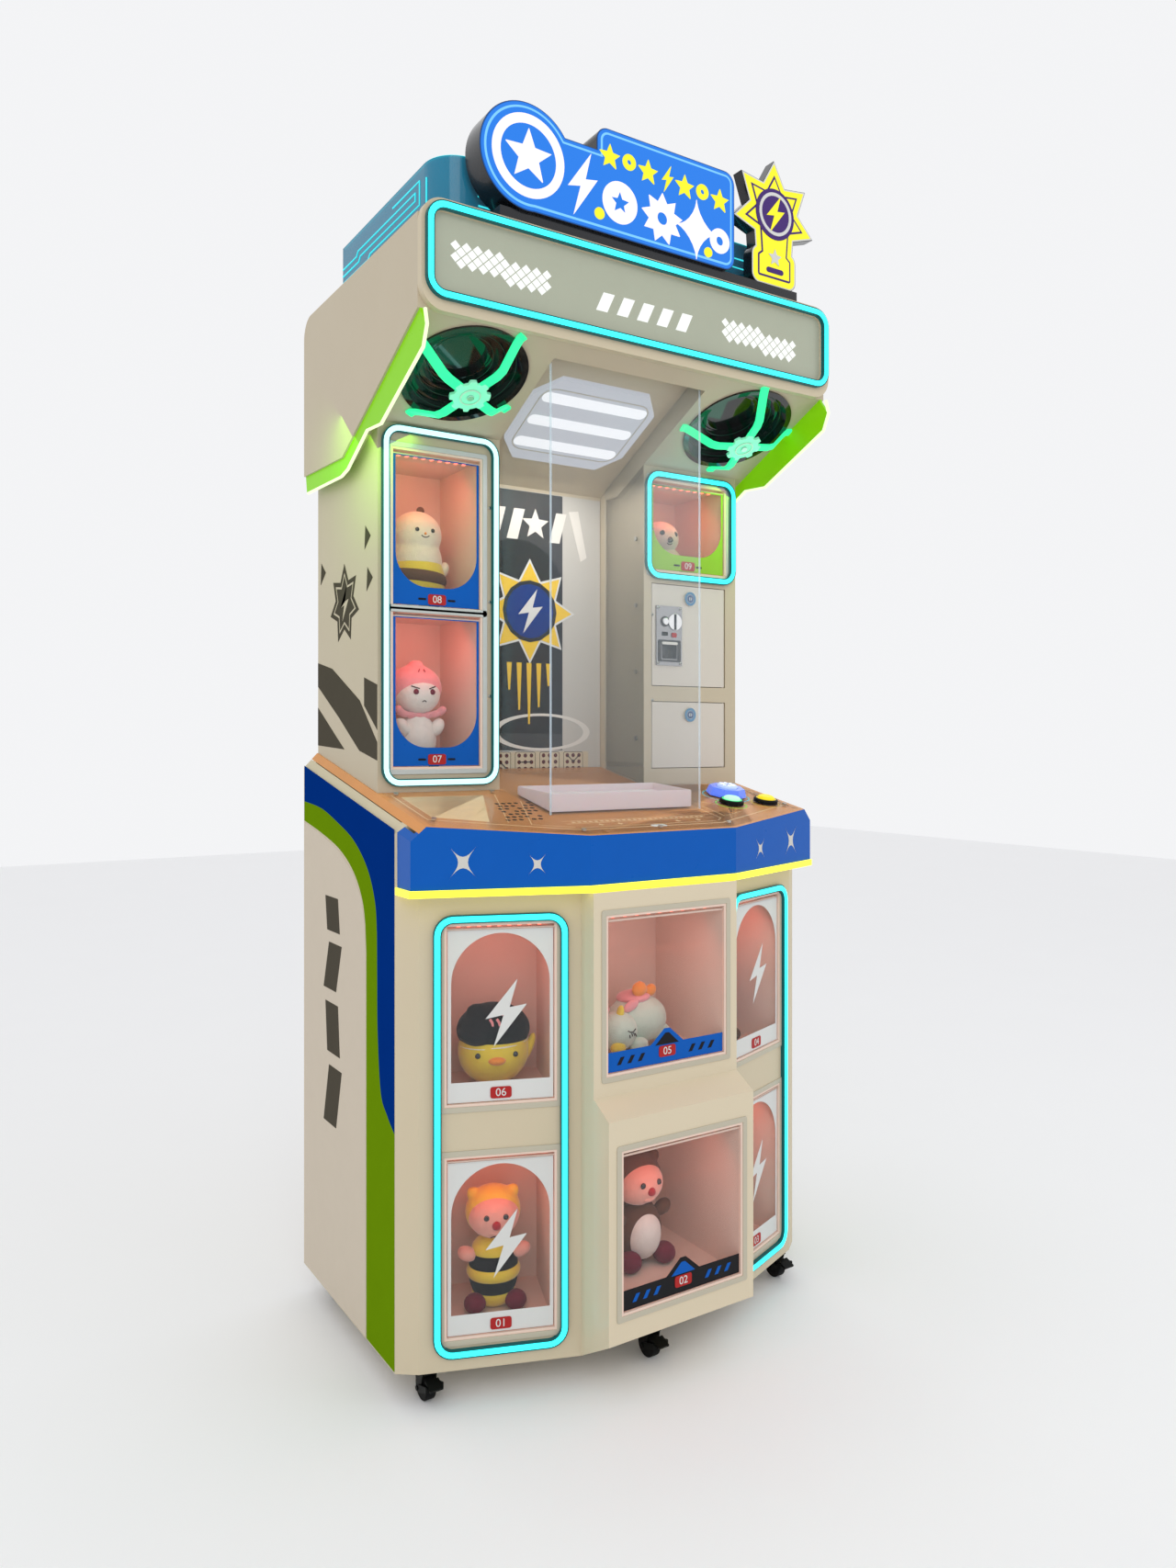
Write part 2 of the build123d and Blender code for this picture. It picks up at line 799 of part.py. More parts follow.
def ceiling_light():
    half = light_half
    cut = light_corner
    points = [
        (-half, light_back + cut),
        (-half, light_front - cut),
        (cut - half, light_front),
    ]
    points += [(-x, depth) for x, depth in reversed(points)]
    points += [(half - cut, light_back), (cut - half, light_back)]
    levels = [(0, ceiling_z(0)), (far, ceiling_z(far))]
    levels += [(depth, z - light_thick) for depth, z in reversed(levels)]
    return upright(plan(points), 1600, 2000) & side_prism(levels, -far, far)


def speaker_horn():
    """Stepped bowl with a flat rim; Z points out of the bowl."""
    bowl = disc(speaker_rim, 0, speaker_wall)
    room = Part()
    for radius, deep in speaker_steps:
        bowl += disc(radius + speaker_wall, -deep - speaker_wall, speaker_wall)
        room += disc(radius, -deep, speaker_wall + 1)
    radius, deep = speaker_steps[-1]
    magnet = disc(radius - magnet_inset, -deep - speaker_wall - magnet_thick, -deep - speaker_wall)
    return group(bowl - room, magnet)


def speaker_spokes():
    """Four bent arms that carry a toothed hub over the bowl; Z points out of the bowl."""
    reach = spoke_reach
    points = [
        (reach, 0),
        (reach, 10),
        (hub_radius + 10, spoke_height),
        (0, spoke_height),
        (0, spoke_height - hub_thick),
        (hub_radius + 6, spoke_height - hub_thick),
        (speaker_rim + 1, 4.5),
        (speaker_rim + 1, 0),
    ]
    face = Plane.XZ * make_face(Polyline(*points, close=True))
    arm = extrude(face, amount=spoke_width / 2, both=True)
    spider = disc(hub_radius, spoke_height - hub_thick - 2, spoke_height + 4)
    for turn in range(4):
        spider += Rot(Z=45 + 90 * turn) * arm
    for turn in range(8):
        tooth = Box(8, 8, hub_thick, align=(Align.CENTER, Align.CENTER, Align.MAX))
        spider += Rot(Z=45 * turn) * Pos(hub_radius, 0, spoke_height) * tooth
    return spider


def on_speakers(part):
    return group(*[under_place(side * speaker_x, speaker_depth) * part for side in (-1, 1)])


# ---- Play field ----
def play_cover():
    """Clear bent sheet round the play field: two side panes and a front pane."""
    points = [
        (-play_half, cover_back),
        (-play_half, cover_depth),
    ]
    inner_half = play_half - cover_thick
    inner = [
        (-inner_half, cover_back - 1),
        (-inner_half, cover_depth - cover_thick),
    ]
    bent = upright(plan(mirrored(points)), 800, 2000) - upright(plan(mirrored(inner)), 790, 2010)
    bent -= under_deck(0)
    above = [(0, ceiling_z(0) - 1), (far, ceiling_z(far) - 1), (far, 3000), (0, 3000)]
    return bent - side_prism(above, -far, far)


def ball_tray():
    width = 2 * tray_half
    length = (tray_front - tray_back) / math.cos(math.radians(deck_tilt))
    corner = (Align.CENTER, Align.MIN, Align.MIN)
    outer = Box(width, length, tray_rise, align=corner)
    inner = Box(width - 2 * tray_wall, length - 2 * tray_wall, tray_rise, align=corner)
    tray = outer - Pos(0, tray_wall, tray_wall) * inner
    return deck_place(0, tray_front) * tray


# ---- Push buttons ----
def button_body(domed):
    barrel = disc(button_barrel, -45, 0)
    if domed:
        collar = extrude(RegularPolygon(dome_collar, 8), 16, taper=20)
        cap = dome_cap
    else:
        collar = chamfer(disc(button_collar, 0, 8).edges().group_by(Axis.Z)[-1], 2)
        cap = button_cap
    body = barrel + collar
    body -= disc(cap + button_clear, 1, 40)
    return body - disc(button_stem + button_clear, -46, 2)


def button_plunger(domed):
    cap = dome_cap if domed else button_cap
    low = button_travel + 1.5
    high = 22.0 if domed else 13.0
    head = disc(cap, low, high)
    head = fillet(head.edges().group_by(Axis.Z)[-1], 4)
    return head + disc(button_stem, -38, low)


# ---- Roof ----
def fence_outline(grow):
    width = 2 * (fence_half + grow)
    deep = fence_depth + grow + 200
    return Pos(0, at(fence_depth + grow) + deep / 2) * RectangleRounded(width, deep, fence_radius + grow)


def roof_fence():
    ring = fence_outline(0) - fence_outline(-fence_thick)
    wall = upright(ring, roof, fence_top)
    back_arc = block(-far, far, -far, roof_back_radius, roof - 10, roof + 5)
    return wall & block(-far, far, roof_back_radius + fence_back, far, 0, 3000) - back_arc


def sign_plate(face, depth, thick):
    """A front-view outline of (x, z) as a plate whose front lies at this depth."""
    return extrude(Plane.XZ.offset(-at(depth)) * face, amount=thick, dir=(0, 1, 0))


def rounded(x0, x1, z0, z1, radius):
    return Pos((x0 + x1) / 2, (z0 + z1) / 2) * RectangleRounded(x1 - x0, z1 - z0, radius)


def roof_sign():
    """Light box of the sign, and the bar that it stands on as a second solid."""
    x, z, radius = sign_ball
    outline = Pos(x, z) * Circle(radius)
    outline += rounded(x, sign_right, sign_low, sign_mid_top, 24)
    outline += rounded(sign_step_x, sign_right, sign_low + 60, sign_top, 24)
    outline += rounded(sign_left + 60, 0, sign_low, sign_low + 60, 20)
    box = sign_plate(outline, sign_depth, sign_thick)
    bar = block(stand_left, stand_right, sign_depth - sign_thick + 6, sign_depth - 6, roof, sign_low)
    return group(box, bar)


def sign_emblem():
    """Spiked ball on the stand beside the sign."""
    middle = emblem_top - emblem_reach
    points = []
    for step in range(2 * emblem_points):
        radius = emblem_reach if step % 2 == 0 else emblem_ball
        angle = math.radians(90 + 180 * step / emblem_points)
        points.append((emblem_x + radius * math.cos(angle), middle + radius * math.sin(angle)))
    outline = make_face(Polyline(*points, close=True)) + Pos(emblem_x, middle) * Circle(emblem_ball)
    half, high, radius = emblem_foot
    outline += rounded(emblem_x - half, emblem_x + half, sign_low, sign_low + high, radius)
    return sign_plate(outline, sign_depth - 10, emblem_thick)


# ---- Light frames ----
def light_frame(width, height):
    """Rounded light tube; local X right, Y into the machine, Z up."""
    ring = RectangleRounded(width, height, frame_radius)
    ring -= RectangleRounded(width - 2 * frame_band, height - 2 * frame_band, frame_radius - frame_band)
    return extrude(Plane.XZ * ring, amount=frame_rise, dir=(0, -1, 0))


def light_frames():
    width, height, middle = canted_frame
    frames = [canted_place(side, middle) * light_frame(width, height) for side in (-1, 1)]
    for width, height, middle, x in (left_frame, right_frame):
        frames.append(front_place(x, mid_depth, middle) * light_frame(width, height))
    width, height, middle = face_frame
    frames.append(front_place(0, head_depth + face_thick, middle) * light_frame(width, height))
    return group(*frames)


# ---- Fasteners ----
def cover_screws():
    """Cap screws in the deck's sheet and in the play cover's side panes."""
    radius, high = screw_head
    back_row, side_row = screw_rows
    front_row = fascia_depth - screw_front
    edge = base_width / 2 - shoulder_in - screw_inset
    corner = fascia_side + 3 - shoulder_in - screw_inset
    spots = [(edge, back_row), (corner, side_row), (fascia_half, front_row), (well_screw_x, back_row)]
    spots += [(-x, depth) for x, depth in spots]
    spots.append((0, front_row + 3))
    heads = [deck_place(x, depth) * disc(radius, 0, high) for x, depth in spots]
    for side in (-1, 1):
        x = side * (play_half - cover_thick)
        for z in wall_screws:
            place = Pos(x, at(mid_depth - wall_screw_inset), z) * Rot(Y=-90 * side)
            heads.append(place * disc(radius, 0, high - 0.5))
    return group(*heads)


# ---- Casters ----
def caster_plates():
    plates = []
    for x, depth in caster_places.values():
        place = Pos(x, at(depth), base_bottom - caster_plate)
        foot = (Align.CENTER, Align.CENTER, Align.MIN)
        plate = Box(caster_plate_size, caster_plate_size, caster_plate, align=foot)
        pin = disc(kingpin_radius, -swivel_gap - fork_top, 0)
        plates.append(place * (plate + pin))
    return group(*plates)


def caster_fork():
    """Fork about its kingpin: Z from the floor, the wheel a little forward."""
    top = base_bottom - caster_plate - swivel_gap
    half = fork_inner / 2
    crown = disc(kingpin_radius + 9, top - fork_top, top)
    crown += Pos(0, -caster_trail, top - fork_top) * Box(
        fork_inner + 2 * fork_cheek, 34, fork_top, align=(Align.CENTER, Align.CENTER, Align.MIN))
    fork = crown
    for side in (-1, 1):
        points = [(-15, top), (15, top), (7, wheel_radius - 6), (-7, wheel_radius - 6)]
        face = Plane.YZ.offset(side * half) * Pos(-caster_trail, 0) * make_face(Polyline(*points, close=True))
        fork += extrude(face, amount=fork_cheek, dir=(side, 0, 0))
    axle = Pos(0, -caster_trail, wheel_radius) * rod(axle_radius, fork_inner + 2 * fork_cheek + 8)
    return fork + axle - disc(kingpin_radius + pin_fit, 0, 60)


def caster_wheel():
    wheel = Rot(Y=90) * Cylinder(wheel_radius, wheel_width)
    wheel = fillet(wheel.edges(), 3)
    return Pos(0, -caster_trail, wheel_radius) * (wheel - rod(axle_radius + pin_fit, wheel_width + 2))


def caster_brake():
    """Pedal that rocks on the axle's line in front of the fork."""
    top = base_bottom - caster_plate - swivel_gap - fork_top
    half = fork_inner / 2 + fork_cheek
    pedal = Pos(0, -caster_trail - pedal_reach, top - 10) * Rot(X=20) * Box(2 * half - 4, 22, 4)
    for side in (-1, 1):
        arm_points = [(-2, wheel_radius - 7), (7, wheel_radius), (-2, wheel_radius + 7),
                      (-pedal_reach - 1, top - 8), (-pedal_reach - 1, top - 18)]
        face = Plane.YZ.offset(side * (half + 0.4)) * Pos(-caster_trail, 0) * make_face(
            Polyline(*arm_points, close=True))
        pedal += extrude(face, amount=2, dir=(side, 0, 0))
    bridge = Pos(0, -caster_trail - pedal_reach, top - 13) * Box(2 * half + 4.8, 4, 8)
    return pedal + bridge - Pos(0, -caster_trail, wheel_radius) * rod(axle_radius + pin_fit, 60)


# ---- Soft prizes ----
def plush(width, height, deep):
    """Plain sitting toy: a rounded body with a head, flat underneath."""
    body = Pos(0, 0, 0.30 * height) * scale(Sphere(1), (width / 2, deep / 2, 0.36 * height))
    head = Pos(0, 0, 0.70 * height) * scale(Sphere(1), (0.40 * width, 0.42 * deep, 0.30 * height))
    foot = (Align.CENTER, Align.CENTER, Align.MIN)
    half = Pos(0, 0, 0.3) * Box(2 * width, 2 * deep, height * 2, align=foot)
    return (body + head) & half


toys = {
    "01": (120.0, 215.0, 100.0),
    "02": (130.0, 200.0, 110.0),
    "03": (115.0, 190.0, 100.0),
    "04": (115.0, 180.0, 100.0),
    "05": (170.0, 150.0, 120.0),
    "06": (130.0, 165.0, 110.0),
    "07": (115.0, 200.0, 100.0),
    "08": (120.0, 210.0, 100.0),
    "09": (115.0, 130.0, 100.0),
}


def prize_toys():
    made = []
    for name, (size, place) in bays.items():
        width, height, deep = toys[name]
        made.append(place * Pos(0, size[2] * 0.55, -size[1] / 2) * plush(width, height, deep))
    return group(*made)


# ---- Every node ----
nodes = {
    "base_cabinet": base_cabinet(),
    "centre_column": centre_column(),
    "play_deck": play_deck(),
    "deck_cover_sheet": deck_cover_sheet(),
    "fascia_band": fascia_band(),
    "fascia_light_tube": fascia_light_tube(),
    "light_frames": light_frames(),
    "mid_cabinet": mid_cabinet(),
    "play_backboard": play_backboard(),
    "ball_tray": ball_tray(),
    "play_cover": play_cover(),
    "head_cabinet": head_cabinet(),
    "header_front_panel": header_front_panel(),
    "header_side_trims": header_side_trims(),
    "ceiling_light": ceiling_light(),
    "speaker_horns": on_speakers(speaker_horn()),
    "speaker_spokes": on_speakers(speaker_spokes()),
    "roof_fence": roof_fence(),
    "roof_sign": roof_sign(),
    "sign_emblem": sign_emblem(),
    "prize_boxes": group(*[place * bay_box(size) for size, place in bays.values()]),
    "door_latches": group(*[place * bay_latch(size) for size, place in bays.values()]),
    "prize_toys": prize_toys(),
    "coin_door": coin_door(),
    "coin_door_lock": door_lock(coin_door_span),
    "coin_selector": coin_selector(),
    "coin_return_button": coin_return_button(),
    "cash_door": service_door(cash_door_span),
    "cash_door_lock": door_lock(cash_door_span),
    "coin_box": coin_box(),
    "rear_door": rear_door(),
    "electronics": electronics(),
    "cover_screws": cover_screws(),
    "caster_plates": caster_plates(),
}
for name, (size, place) in bays.items():
    nodes[f"prize_door_{name}"] = place * bay_flap(size)
for name, (x, depth) in button_places.items():
    nodes[f"{name}_button"] = deck_place(x, depth) * button_plunger(name == "drop")
nodes["button_bodies"] = group(*[
    deck_place(x, depth) * button_body(name == "drop") for name, (x, depth) in button_places.items()
])
for name, (x, depth) in caster_places.items():
    spot = Pos(x, at(depth), 0)
    nodes[f"caster_fork_{name}"] = spot * caster_fork()
    nodes[f"caster_wheel_{name}"] = spot * caster_wheel()
    if name in braked:
        nodes[f"caster_brake_{name}"] = spot * caster_brake()

for name, part in nodes.items():
    export_step(part, f"parts/{name}.step")
print(len(nodes), "nodes")
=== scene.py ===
"""Looks of the ball-play prize cabinet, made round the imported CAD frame. Everything is in metres."""
import json
import math

import bmesh
import bpy
from mathutils import Matrix, Vector, noise as field


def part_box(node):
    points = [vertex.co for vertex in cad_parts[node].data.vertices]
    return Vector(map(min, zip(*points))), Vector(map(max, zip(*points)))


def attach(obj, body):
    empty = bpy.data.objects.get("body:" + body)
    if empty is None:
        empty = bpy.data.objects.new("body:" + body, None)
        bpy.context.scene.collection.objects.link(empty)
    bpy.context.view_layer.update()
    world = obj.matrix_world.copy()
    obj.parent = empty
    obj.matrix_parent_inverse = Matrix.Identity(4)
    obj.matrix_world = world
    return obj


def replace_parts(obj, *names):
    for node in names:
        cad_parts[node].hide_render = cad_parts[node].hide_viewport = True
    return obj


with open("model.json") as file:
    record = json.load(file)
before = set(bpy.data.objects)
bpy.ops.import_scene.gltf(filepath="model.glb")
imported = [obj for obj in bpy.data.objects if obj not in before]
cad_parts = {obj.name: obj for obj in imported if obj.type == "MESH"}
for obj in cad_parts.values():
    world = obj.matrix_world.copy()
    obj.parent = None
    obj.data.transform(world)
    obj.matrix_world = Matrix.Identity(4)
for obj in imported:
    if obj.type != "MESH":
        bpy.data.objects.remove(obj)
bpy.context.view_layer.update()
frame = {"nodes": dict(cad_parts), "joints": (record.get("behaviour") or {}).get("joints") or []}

MM = 0.001
UP = Vector((0, 0, 1))
RIGHT = Vector((1, 0, 0))
CABINET = "cabinet"
BAYS = ["01", "02", "03", "04", "05", "06", "07", "08", "09"]
CANTED = ("01", "03", "04", "06")
back_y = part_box("base_cabinet")[1][1]


def at(depth):
    """Y of a place this many millimetres forward of the back plane."""
    return back_y - depth * MM


# ---- Camera and studio ----
def make_camera():
    data = bpy.data.cameras.new("camera")
    data.lens = 25.22
    data.sensor_width = 36
    data.shift_x = 0.0039
    data.shift_y = -0.0283
    camera = bpy.data.objects.new("camera", data)
    camera.location = (-1.1797, at(2180.9), 1.1168)
    camera.rotation_euler = (math.radians(90), 0, math.radians(-32.69))
    bpy.context.scene.collection.objects.link(camera)
    bpy.context.scene.camera = camera


def area_light(name, place, target, size, power, colour=(1, 1, 1)):
    data = bpy.data.lights.new(name, "AREA")
    data.size = size
    data.energy = power
    data.color = colour
    lamp = bpy.data.objects.new(name, data)
    lamp.location = place
    lamp.rotation_euler = (Vector(target) - Vector(place)).to_track_quat("-Z", "Y").to_euler()
    bpy.context.scene.collection.objects.link(lamp)


def make_studio():
    scene = bpy.context.scene
    scene.view_settings.view_transform = "Standard"
    world = bpy.data.worlds.new("studio")
    scene.world = world
    world.use_nodes = True
    background = world.node_tree.nodes["Background"]
    background.inputs["Color"].default_value = (0.98, 0.985, 1.0, 1)
    background.inputs["Strength"].default_value = 0.92
    area_light("key", (-2.2, -3.6, 3.4), (0, 0, 1.1), 2.2, 32)
    area_light("fill", (2.8, -2.6, 2.0), (0, 0, 1.0), 2.2, 8)
    mesh = bpy.data.meshes.new("floor")
    reach = 9.0
    corners = [(-reach, -reach, 0), (reach, -reach, 0), (reach, reach, 0), (-reach, reach, 0)]
    mesh.from_pydata(corners, [], [(0, 1, 2, 3)])
    floor = bpy.data.objects.new("floor", mesh)
    scene.collection.objects.link(floor)
    mesh.materials.append(surface("floor_pale", (0.90, 0.90, 0.905), 0.6, tint=0.006, grain=3))


# ---- Materials ----
def noise(tree, scale, detail, stretch=(1, 1, 1)):
    coords = tree.nodes.new("ShaderNodeTexCoord")
    mapping = tree.nodes.new("ShaderNodeMapping")
    mapping.inputs["Scale"].default_value = stretch
    texture = tree.nodes.new("ShaderNodeTexNoise")
    texture.inputs["Scale"].default_value = scale
    texture.inputs["Detail"].default_value = detail
    tree.links.new(coords.outputs["Object"], mapping.inputs["Vector"])
    tree.links.new(mapping.outputs["Vector"], texture.inputs["Vector"])
    return texture.outputs["Fac"]


def surface(name, colour, rough, metal=0.0, tint=0.05, grain=25.0, bump=0.0, bump_grain=600.0,
            stretch=(1, 1, 1), spread=0.06, **sockets):
    """Principled material whose colour, roughness and relief vary with procedural noise."""
    material = bpy.data.materials.new(name)
    material.use_nodes = True
    tree = material.node_tree
    shader = tree.nodes["Principled BSDF"]
    fac = noise(tree, grain, 4.0, stretch)
    mix = tree.nodes.new("ShaderNodeMix")
    mix.data_type = "RGBA"
    mix.inputs[6].default_value = (*[min(1, c * (1 - tint)) for c in colour], 1)
    mix.inputs[7].default_value = (*[min(1, c * (1 + tint)) for c in colour], 1)
    tree.links.new(fac, mix.inputs[0])
    tree.links.new(mix.outputs[2], shader.inputs["Base Color"])
    span = tree.nodes.new("ShaderNodeMapRange")
    span.inputs["To Min"].default_value = max(0.0, rough - spread)
    span.inputs["To Max"].default_value = min(1.0, rough + spread)
    tree.links.new(noise(tree, grain * 3, 5.0, stretch), span.inputs["Value"])
    tree.links.new(span.outputs["Result"], shader.inputs["Roughness"])
    if bump:
        relief = tree.nodes.new("ShaderNodeBump")
        relief.inputs["Strength"].default_value = bump
        relief.inputs["Distance"].default_value = 0.0008
        tree.links.new(noise(tree, bump_grain, 3.0, stretch), relief.inputs["Height"])
        tree.links.new(relief.outputs["Normal"], shader.inputs["Normal"])
    shader.inputs["Metallic"].default_value = metal
    shader.inputs["Specular IOR Level"].default_value = 0.28
    for socket, value in sockets.items():
        shader.inputs[socket.replace("_", " ")].default_value = value
    return material


def glow(name, colour, strength, base=None):
    """Lit diffuser: an emitting plastic with a faint mottle."""
    base = base or [0.12 * c for c in colour]
    return surface(name, base, 0.35, tint=0.03, Emission_Color=(*colour, 1), Emission_Strength=strength)


def clear(name, colour, alpha, rough=0.04, gloss=1.0, **sockets):
    """Clear sheet, see-through by alpha, glossy on its faces."""
    return surface(name, colour, rough, tint=0.02, spread=0.02, Alpha=alpha, Coat_Weight=gloss,
                   Coat_Roughness=0.03, **sockets)


def deck_look():
    """Printed board: orange on top, blue on its front edges and cream on its other edges."""
    material = surface("deck_print", (0.66, 0.285, 0.095), 0.3, tint=0.16, grain=7, Specular_IOR_Level=0.12)
    tree = material.node_tree
    shader = tree.nodes["Principled BSDF"]
    printed = shader.inputs["Base Color"].links[0].from_socket
    coords = tree.nodes.new("ShaderNodeTexCoord")
    parts = tree.nodes.new("ShaderNodeSeparateXYZ")
    tree.links.new(coords.outputs["Normal"], parts.inputs["Vector"])
    edges = (("Z", "LESS_THAN", 0.5, (0.60, 0.515, 0.365)), ("Y", "LESS_THAN", -0.5, (0.001, 0.095, 0.44)))
    for axis, test_kind, limit, colour in edges:
        test = tree.nodes.new("ShaderNodeMath")
        test.operation = test_kind
        test.inputs[1].default_value = limit
        tree.links.new(parts.outputs[axis], test.inputs[0])
        mix = tree.nodes.new("ShaderNodeMix")
        mix.data_type = "RGBA"
        mix.inputs[7].default_value = (*colour, 1)
        tree.links.new(test.outputs[0], mix.inputs[0])
        tree.links.new(printed, mix.inputs[6])
        printed = mix.outputs[2]
    tree.links.new(printed, shader.inputs["Base Color"])
    return material


